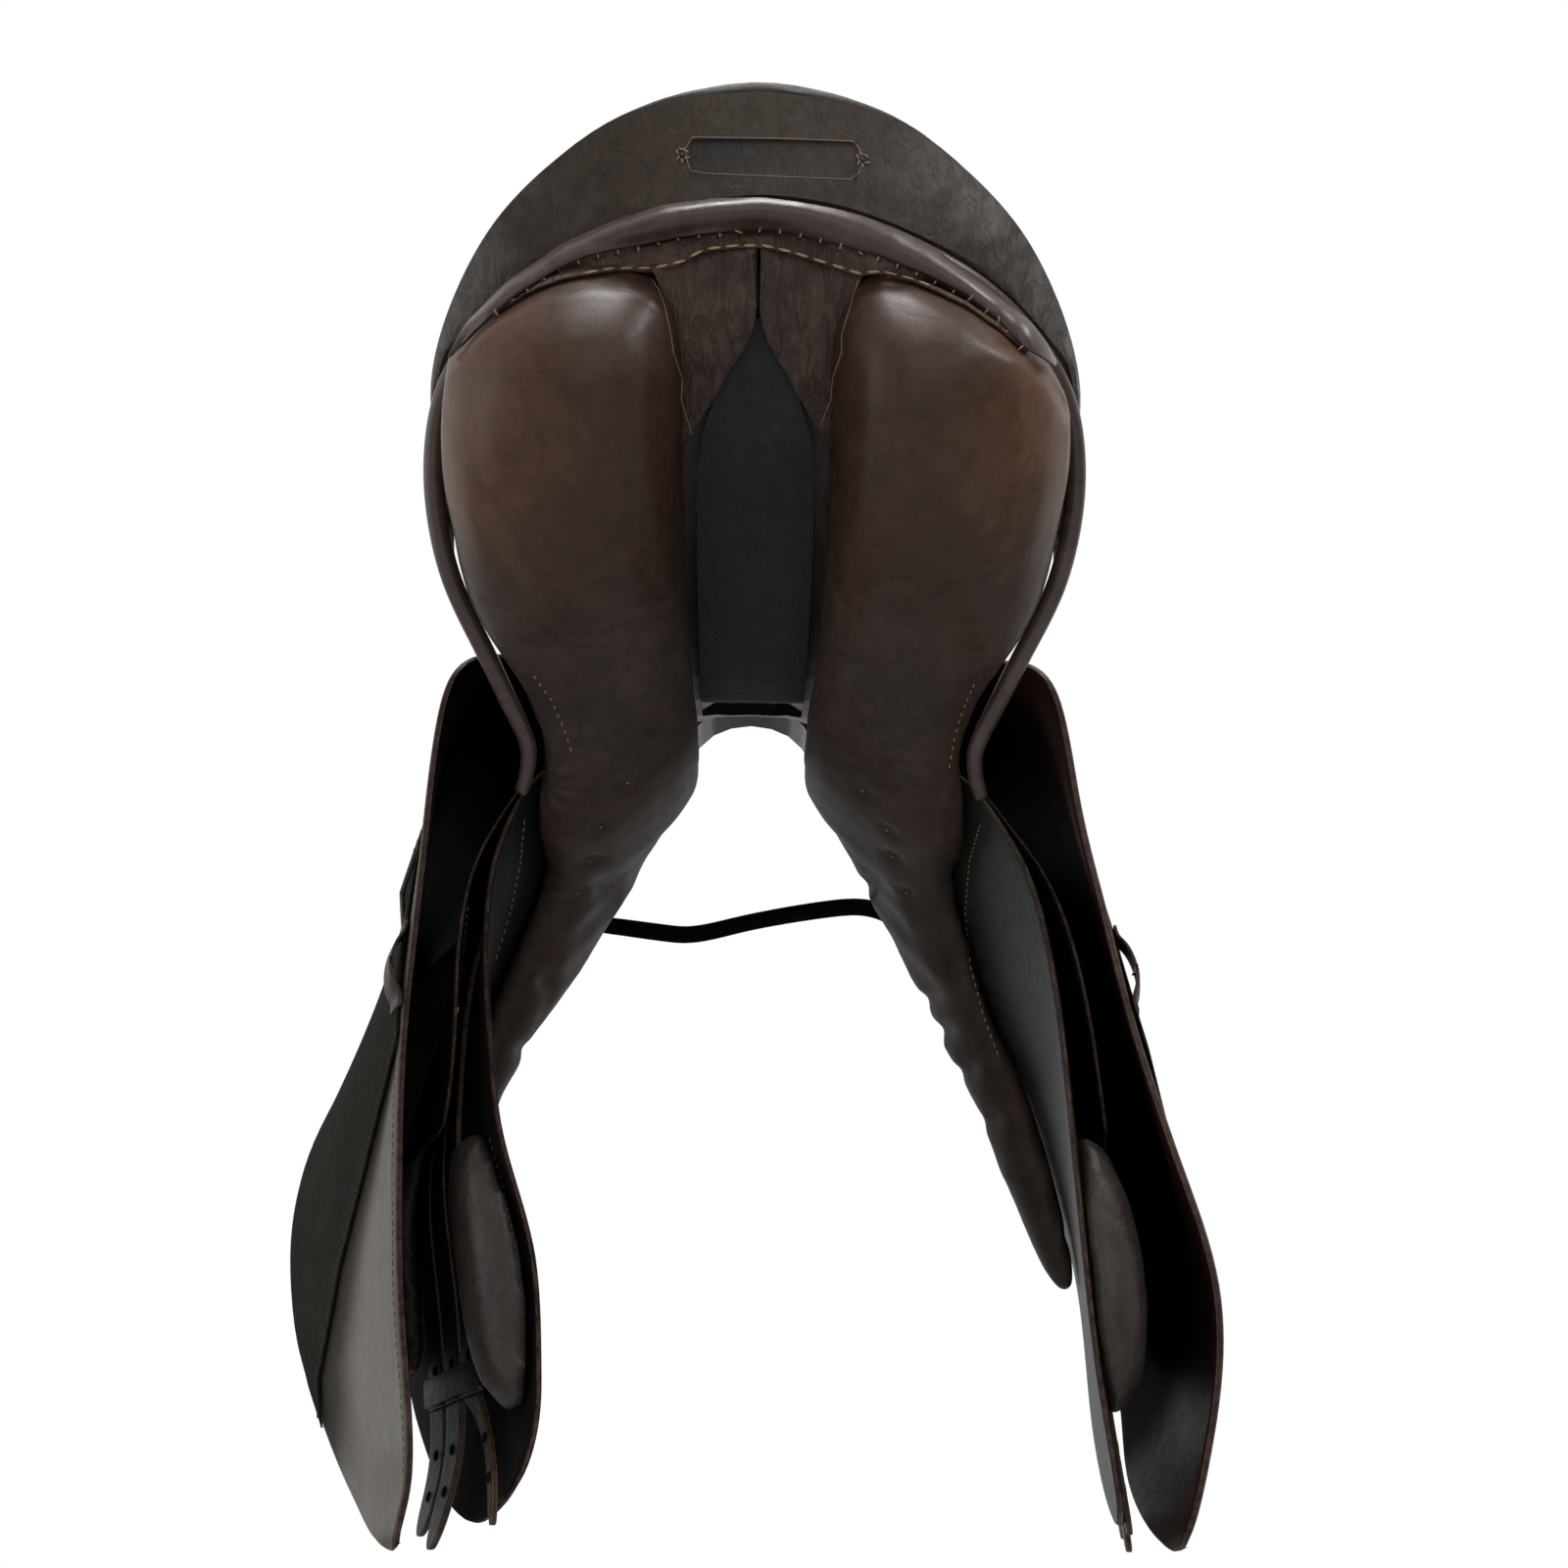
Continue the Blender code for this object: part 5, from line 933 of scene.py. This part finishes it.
# Knee and thigh blocks: firm foam under thin calf, glued and stitched to the sweat flap. The calf is
# drawn over the foam and wrinkles, most on the right thigh block.
block_face = leather("block_calf", (0.025, 0.0195, 0.017), (0.042, 0.033, 0.029), 0.4, wear=0.7,
                     wear_scale=26.0, grain=(900.0, 0.00003), crease=(75.0, 0.00014),
                     stretch=(1.0, 1.0, 0.55), shine=0.2)[0]
block_fullness = 0.0022
blocks = {}
for side, thigh_folds in (("left", 0.0002), ("right", 0.0006)):
    for kind, folds, raised in (("knee", 0.0001, 0.011), ("thigh", thigh_folds, 0.003)):
        block = cut_from(f"{kind}_block_{side}", f"{kind}_block_calf_{side}")
        swell(block, 0.0025, 0.0008, 3.0, 0.0016)
        finish_modifier(block, "SMOOTH", factor=0.5, iterations=36)
        places, normals = corners(block)
        height = (places[:, 2] - places[:, 2].min()) / np.ptp(places[:, 2])
        places[:, 2] += raised * eased((height - 0.4) / 0.6)
        places += normals * block_fullness
        if kind == "thigh":
            back = eased((places[:, 1].mean() - places[:, 1]) / (0.5 * np.ptp(places[:, 1])))
            places[:, 1] -= 0.012 * back
            if side == "left":
                drawn_in(places)
        lines = np.abs(ripple(places * (1.0, 1.0, 0.5), 330.0, 11))
        move_corners(block, places + normals * (folds * (np.minimum(lines, 0.4) - 0.3))[:, None])
        smooth_faces(block)
        fit(block, "plum_leather", f"{kind}_block_{side}", block_face)
        blocks[kind, side] = block


# Girth straps: three on each side, thick oiled leather with punched holes, passing under a flat
# keeper loop and ending in points. A plain leaf of leather guards the flap from their buckles.
def punch(strap, node, way, levels):
    """Rings of pressed leather round the holes of a strap, all in one piece."""
    skin = surface_of(strap)
    rings = []
    for level in levels:
        beside = [v.co for v in strap.data.vertices if abs(v.co.z - level) < 0.006]
        if not beside:
            continue
        middle = sum(v.y for v in beside) / len(beside)
        spot, facing, _, _ = skin.ray_cast(Vector((way * 0.4, middle, level)), Vector((-way, 0, 0)))
        if spot:
            bpy.ops.mesh.primitive_torus_add(major_segments=14, minor_segments=6, major_radius=0.0021,
                                             minor_radius=0.0007)
            ring = bpy.context.object
            turned = facing.to_track_quat("Z", "Y").to_matrix().to_4x4()
            ring.data.transform(Matrix.Translation(spot) @ turned)
            rings.append(ring)
    if not rings:
        return
    bpy.ops.object.select_all(action="DESELECT")
    for ring in rings:
        ring.select_set(True)
    bpy.context.view_layer.objects.active = rings[0]
    bpy.ops.object.join()
    holes = bpy.context.object
    holes.name = f"punched_holes_{strap.name}"
    holes.data.materials.append(hole_face)
    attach(holes, body_of_node[node])


strap_face = two_sided("girth_strap_hide", (0.009, 0.0075, 0.0065), (0.016, 0.012, 0.009), (0.13, 0.08, 0.05),
                       0.45, wear=0.7, wear_scale=30.0, crease=(160.0, 0.0001), shine=0.12)
guard_face = two_sided("guard_hide", (0.007, 0.006, 0.005), (0.006, 0.005, 0.004), (0.07, 0.045, 0.033), 0.5,
                       wear=0.5, crease=(60.0, 0.0001), shine=0.06, inner_shine=0.04)
hole_face = leather("punched_hole", (0.003, 0.002, 0.002), (0.004, 0.003, 0.003), 0.8, shine=0.06)[0]
strap_holes = (-0.31, -0.285, -0.26, -0.235, -0.21)
tail_holes = (-0.352, -0.372)
for side, way in (("left", -1.0), ("right", 1.0)):
    for number in (1, 2, 3):
        strap = cut_sheet(f"billet_strap_{side}_{number}", f"girth_strap_{side}_{number}", 1, 0.0006)
        fit(strap, "black_leather", f"billet_strap_{side}_{number}", strap_face)
        point = cut_sheet(f"billet_tail_{side}_{number}", f"girth_strap_point_{side}_{number}", 2, 0.0006)
        fit(point, "black_leather", f"billet_tail_{side}_{number}", strap_face)
        punch(strap, f"billet_strap_{side}_{number}", way, strap_holes)
        punch(point, f"billet_tail_{side}_{number}", way, tail_holes)
    keeper = cut_sheet(f"billet_keeper_{side}", f"strap_keeper_{side}", 1, 0.0004)
    fit(keeper, "plum_leather", f"billet_keeper_{side}", strap_face)
    guard = cut_sheet(f"billet_guard_{side}", f"strap_guard_{side}", 2, 0.0007)
    fit(guard, "flap_leather", f"billet_guard_{side}", guard_face)


# Outer flaps: bridle-cut leather in two plies, taupe and polished outside and maroon inside, the
# left flap's inside painted near black as painted shade. A pebbled grip patch is sewn over the
# front, and a loop behind it.
flap_edge = (0.085, 0.05, 0.04)
flap_finish = {"wear": 0.5, "wear_scale": 7.0, "grain": (1000.0, 0.00002), "crease": (18.0, 0.00005),
               "stretch": (1.0, 1.0, 0.3)}
# The left flap's inner dye is painted near black, painted shade; the right flap keeps its maroon.
flap_faces = {"left": two_sided("flap_hide_left", (0.056, 0.047, 0.037), (0.002, 0.0017, 0.0015), flap_edge,
                                0.32, shine=0.22, inner_shine=0.01, **flap_finish),
              "right": two_sided("flap_hide_right", (0.052, 0.046, 0.039), (0.014, 0.0065, 0.0055),
                                 flap_edge, 0.36, shine=0.2, inner_shine=0.06, **flap_finish)}
for side in ("left", "right"):
    tree = flap_faces[side].node_tree
    face = next(node for node in tree.nodes if node.type == "GROUP")
    # Painted sheen: the dye is scaled from 0.35 at the grip seam to 1.25 towards the rear edge, a lighter
    # band painted where light glances off the face.
    band = wire(tree, "ShaderNodeAttribute", {}, attribute_name="from_seam").outputs["Fac"]
    lit = ranged(tree, band, 1.0, 0.45, 0.35, 1.25, smooth=True)
    for socket in ("Dye", "Worn Dye"):
        join(tree, face, {socket: scaled(tree, face.inputs[socket].links[0].from_socket, lit)})
    matted(flap_faces[side], ranged(tree, band, 0.8, 0.4, 0.12, 0.72, smooth=True))
grip_face = two_sided("grip_hide", (0.021, 0.019, 0.016), (0.021, 0.019, 0.016), (0.03, 0.024, 0.02), 0.6,
                      wear=0.4, grain=(620.0, 0.0002), crease=(60.0, 0.00005), shine=0.02, inner_shine=0.02)
matted(grip_face, 0.35)
loop_face = two_sided("loop_hide", (0.02, 0.014, 0.012), (0.012, 0.009, 0.008), (0.08, 0.048, 0.035), 0.45,
                      crease=(60.0, 0.00005), shine=0.12)
skirt_face = two_sided("skirt_hide", (0.03, 0.024, 0.02), (0.014, 0.01, 0.008), flap_edge, 0.4, wear=0.5,
                       wear_scale=9.0, grain=(1000.0, 0.00003), crease=(30.0, 0.00005))
grip_seam = ((410, 1054), (392, 1128), (369, 1220), (350, 1293), (339, 1353), (328, 1408), (331, 1463))


def rear_edge(places, levels, least):
    """Rearmost y of a leaf in a slice round each level, at most the least."""
    return np.array([places[np.abs(places[:, 2] - level) < 0.012, 1].min(initial=least) for level in levels])


def face_at(skin, way, y, z):
    """Sideways place of a flap's outer face at y and z, or None beside it."""
    spot, _, _, _ = skin.ray_cast(Vector((way * 0.6, y, z)), Vector((-way, 0, 0)))
    return spot.x if spot else None


def lay_to_seam(patch, skin, way):
    """Slides a grip patch over its flap until its rear edge lies on the seam of the picture."""
    places, _ = corners(patch)
    foot = places[:, 2].min()
    levels = np.linspace(foot, places[:, 2].max(), 26)
    rears = rear_edge(places, levels, 0.3)
    fronts = -rear_edge(places * (1, -1, 1), levels, 0.0)
    moved = places.copy()
    for k, (x, y, z) in enumerate(places):
        now = face_at(skin, way, y, z)
        if now is None:
            continue
        height = (z - foot) / (levels[-1] - foot)
        new_z = z + (seam_levels[0] - foot) * (1 - height) ** 1.5
        rear_now, front_now = np.interp(z, levels, rears), np.interp(z, levels, fronts)
        front_new = np.interp(new_z, levels, fronts)
        rear_new = min(np.interp(new_z, seam_levels, seam_fronts), front_new - 0.004)
        new_y = rear_new + (y - rear_now) / max(front_now - rear_now, 0.002) * (front_new - rear_new)
        then = face_at(skin, way, new_y, new_z)
        if then is not None:
            moved[k] = (then + (x - now), new_y, new_z)
    move_corners(patch, moved)


def pull_in(loop, skin, way):
    """Shortens a stirrup-leather loop and lays it closer to its flap."""
    places, _ = corners(loop)
    low = places[:, 2].min()
    for k in range(len(places)):
        now = face_at(skin, way, places[k, 1], places[k, 2])
        new_z = low + 0.76 * (places[k, 2] - low)
        then = face_at(skin, way, places[k, 1], new_z)
        if now is not None and then is not None:
            places[k, 0] = then + 0.8 * (places[k, 0] - now) + 0.0008 * way
            places[k, 2] = new_z
    move_corners(loop, places)


flaps = {}
skirts = {}
for side, way in (("left", -1.0), ("right", 1.0)):
    flap = cut_sheet(f"flap_{side}", f"flap_hide_{side}")
    skin = surface_of(flap)
    if side == "left":
        seam = sorted((place.z, place.y) for place, _ in on_picture(skin, grip_seam) if abs(place.x) > 0.12)
        seam_levels, seam_fronts = np.array(seam).T
    fit(flap, "flap_leather", f"flap_{side}", flap_faces[side])
    # The share from the flap's rear edge to the grip seam, held at 0.55 near the foot, places the painted
    # sheen band.
    places, _ = corners(flap)
    levels = np.arange(-0.4, 0.05, 0.01)
    rear = np.interp(places[:, 2], levels, rear_edge(places, levels, 0.1))
    front = np.interp(places[:, 2], seam_levels, seam_fronts)
    share = (places[:, 1] - rear) / np.maximum(front - rear, 0.01)
    low = eased((-0.32 - places[:, 2]) / 0.05)
    share = share * (1 - low) + 0.55 * low
    flap.data.attributes.new("from_seam", "FLOAT", "POINT").data.foreach_set(
        "value", np.clip(share, 0, 1).astype(np.float32))
    flaps[side] = flap
    patch = cut_sheet(f"grip_patch_{side}", f"grip_hide_{side}", 3, 0.0003)
    lay_to_seam(patch, skin, way)
    fit(patch, "grip_leather", f"grip_patch_{side}", grip_face)
    loop = cut_sheet(f"stirrup_keeper_{side}", f"stirrup_leather_loop_{side}", 2, 0.0004)
    pull_in(loop, skin, way)
    fit(loop, "plum_leather", f"stirrup_keeper_{side}", loop_face)
    strip = cut_sheet(f"flap_top_strip_{side}", f"nailed_strip_{side}", 1, 0.0004)
    fit(strip, "plum_leather", f"flap_top_strip_{side}", loop_face)
    skirts[side] = cut_sheet(f"skirt_{side}", f"skirt_hide_{side}", 2, 0.0007)
    fit(skirts[side], "flap_leather", f"skirt_{side}", skirt_face)


# Dee rings and grab strap: plated steel dees on short leather tabs, and a rolled strap between them,
# sewn along its underside, for the rider to hold.
for side in ("left", "right"):
    face_of(f"dee_ring_{side}", fitting_face)
    tab = cut_from(f"dee_tab_{side}", f"dee_tab_hide_{side}")
    finish_modifier(tab, "BEVEL", width=0.0005, segments=2)
    smooth_faces(tab, 40)
    fit(tab, "plum_leather", f"dee_tab_{side}", plum_face)
black_face = leather("rolled_strap_hide", (0.004, 0.004, 0.004), (0.01, 0.009, 0.008), 0.5, wear=0.4,
                     wear_scale=40.0, crease=(200.0, 0.0002), stretch=(0.35, 1.0, 1.0), shine=0.03)[0]
matted(black_face, 0.12)
grab = cut_from("grab_strap", "rolled_grab_strap")
finish_modifier(grab, "SUBSURF", levels=2, render_levels=2)
smooth_faces(grab)
fit(grab, "black_leather", "grab_strap", black_face)


# Marks on the cantle, where a nailed plate was once torn off: the rubbed outline of its bare recess,
# and a hole at each end with flakes of leather standing up round it.
cantle_skin = surface_of(cantle_hide)
recess_line = ((707, 140), (790, 141), (870, 144), (877, 152), (880, 166), (877, 176), (868, 183), (790, 180),
               (720, 177), (704, 174), (701, 163), (699, 152), (707, 140))
flakes = ((-5, -3, 20), (-4, 3, -30), (4, -4, 60), (5, 3, 100), (0, 6, 10), (-1, -6, 75))
sew("recess_outline", on_picture(cantle_skin, recess_line), "saddle", seam_edge,
    (0.0012, 0.0022, 0.00045, 0.0003))
for number, (across, down) in enumerate(((696, 159), (880, 164))):
    sew(f"nail_hole_{number}", on_picture(cantle_skin, ((across, down - 2), (across, down + 2))), "saddle",
        awl_hole, (0.02, 0.003, 0.0024, 0.0008))
    for flake, (aside, below, angle) in enumerate(flakes):
        sew(f"torn_flake_{number}_{flake}",
            on_picture(cantle_skin, ((across + aside, down + below - 2), (across + aside, down + below + 2))),
            "saddle", seam_edge, (0.02, 0.003, 0.0009, 0.0009), angle)


# Seams under the flaps: tan thread along the panel's join and down the guard, dark thread round the
# grip patch and the thigh block, all sewn by hand.
for name, pieces, line, body, thread, stitch, slot in (
        ("sweat_flap_seam_left", (sweat_flaps["left"], panels["left"]),
         ((535, 838), (531, 880), (521, 930), (506, 978)), "saddle", tan_thread,
         (0.0048, 0.0034, 0.0007, 0.0005), "flap_leather"),
        ("sweat_flap_seam_right", (sweat_flaps["right"], panels["right"]),
         ((1000, 842), (989, 880), (985, 930), (990, 985), (1004, 1038), (1020, 1080)), "saddle", tan_thread,
         (0.0048, 0.0034, 0.0007, 0.0005), "flap_leather"),
        ("block_trim_left", (blocks["thigh", "left"], sweat_flaps["left"]),
         ((500, 1162), (513, 1211), (525, 1270), (532, 1321), (533, 1385), (530, 1440)), "saddle",
         dark_thread, (0.0045, 0.0034, 0.0009, 0.0007), "flap_leather"),
        ("grip_seam_left", (bpy.data.objects["grip_hide_left"], flaps["left"]),
         [(across - 6, down) for across, down in grip_seam], "flap_left", dark_thread,
         (0.0046, 0.0036, 0.001, 0.0008), "grip_leather"),
        ("strap_stitches_left", (bpy.data.objects["strap_guard_left"],
                                 bpy.data.objects["girth_strap_left_1"]),
         ((477, 926), (472, 976), (467, 1031), (466, 1082)), "saddle", tan_thread,
         (0.005, 0.0034, 0.0008, 0.0006), "flap_leather")):
    sew(name, on_picture(surface_of(*pieces), line), body, thread, stitch)


# Seams that the other sides show: two long seams down the seat, and a row inside the rear edge of each
# flap and of each skirt.
def on_plan(surface, line, aim, away):
    """Places and normals on a surface, looked at along one direction from outside it."""
    aim = Vector(aim)
    found = []
    for k in range(1, len(line)):
        first, last = Vector(line[k - 1]), Vector(line[k])
        steps = max(int((last - first).length / 0.0009), 2)
        for step in range(steps):
            start = first.lerp(last, step / steps) - aim * away
            place, normal, _, _ = surface.ray_cast(start, aim)
            if place:
                found.append((place, normal))
    return found


seat_skin = surface_of(seat)
seat_line = ((0.042, 0.2), (0.05, 0.15), (0.058, 0.1), (0.074, 0.05), (0.096, 0.0), (0.116, -0.05),
             (0.128, -0.1), (0.128, -0.15), (0.116, -0.2))
seat_stitch_inset, edge_stitch_inset = 0.0035, 0.006
for side, way in (("left", -1.0), ("right", 1.0)):
    run = [(way * x, y, 0.0) for x, y in seat_line]
    spots = on_plan(seat_skin, run, (0.0, 0.0, -1.0), 0.5)
    sew(f"seat_seam_{side}", spots, "saddle", awl_hole, (0.0012, 0.0024, 0.0008, 0.0004))
    inner = on_plan(seat_skin, [(x - way * seat_stitch_inset, y, z) for x, y, z in run], (0.0, 0.0, -1.0),
                    0.5)
    sew(f"seat_seam_stitches_{side}", inner, "saddle", dark_thread, (0.0045, 0.0034, 0.0009, 0.0006))
    for name, piece, low, high in (("flap", flaps[side], -0.37, -0.03), ("skirt", skirts[side], -0.07, 0.03)):
        places, _ = corners(piece)
        edge = []
        for level in np.linspace(low, high, 24):
            beside = np.abs(places[:, 2] - level) < 0.01
            if np.any(beside):
                edge.append((0.0, places[beside, 1].min() + edge_stitch_inset, level))
        sew(f"{name}_edge_stitches_{side}", on_plan(surface_of(piece), edge, (-way, 0.0, 0.0), 0.6),
            f"{name}_{side}", dark_thread, (0.0046, 0.0034, 0.0007, 0.0004))
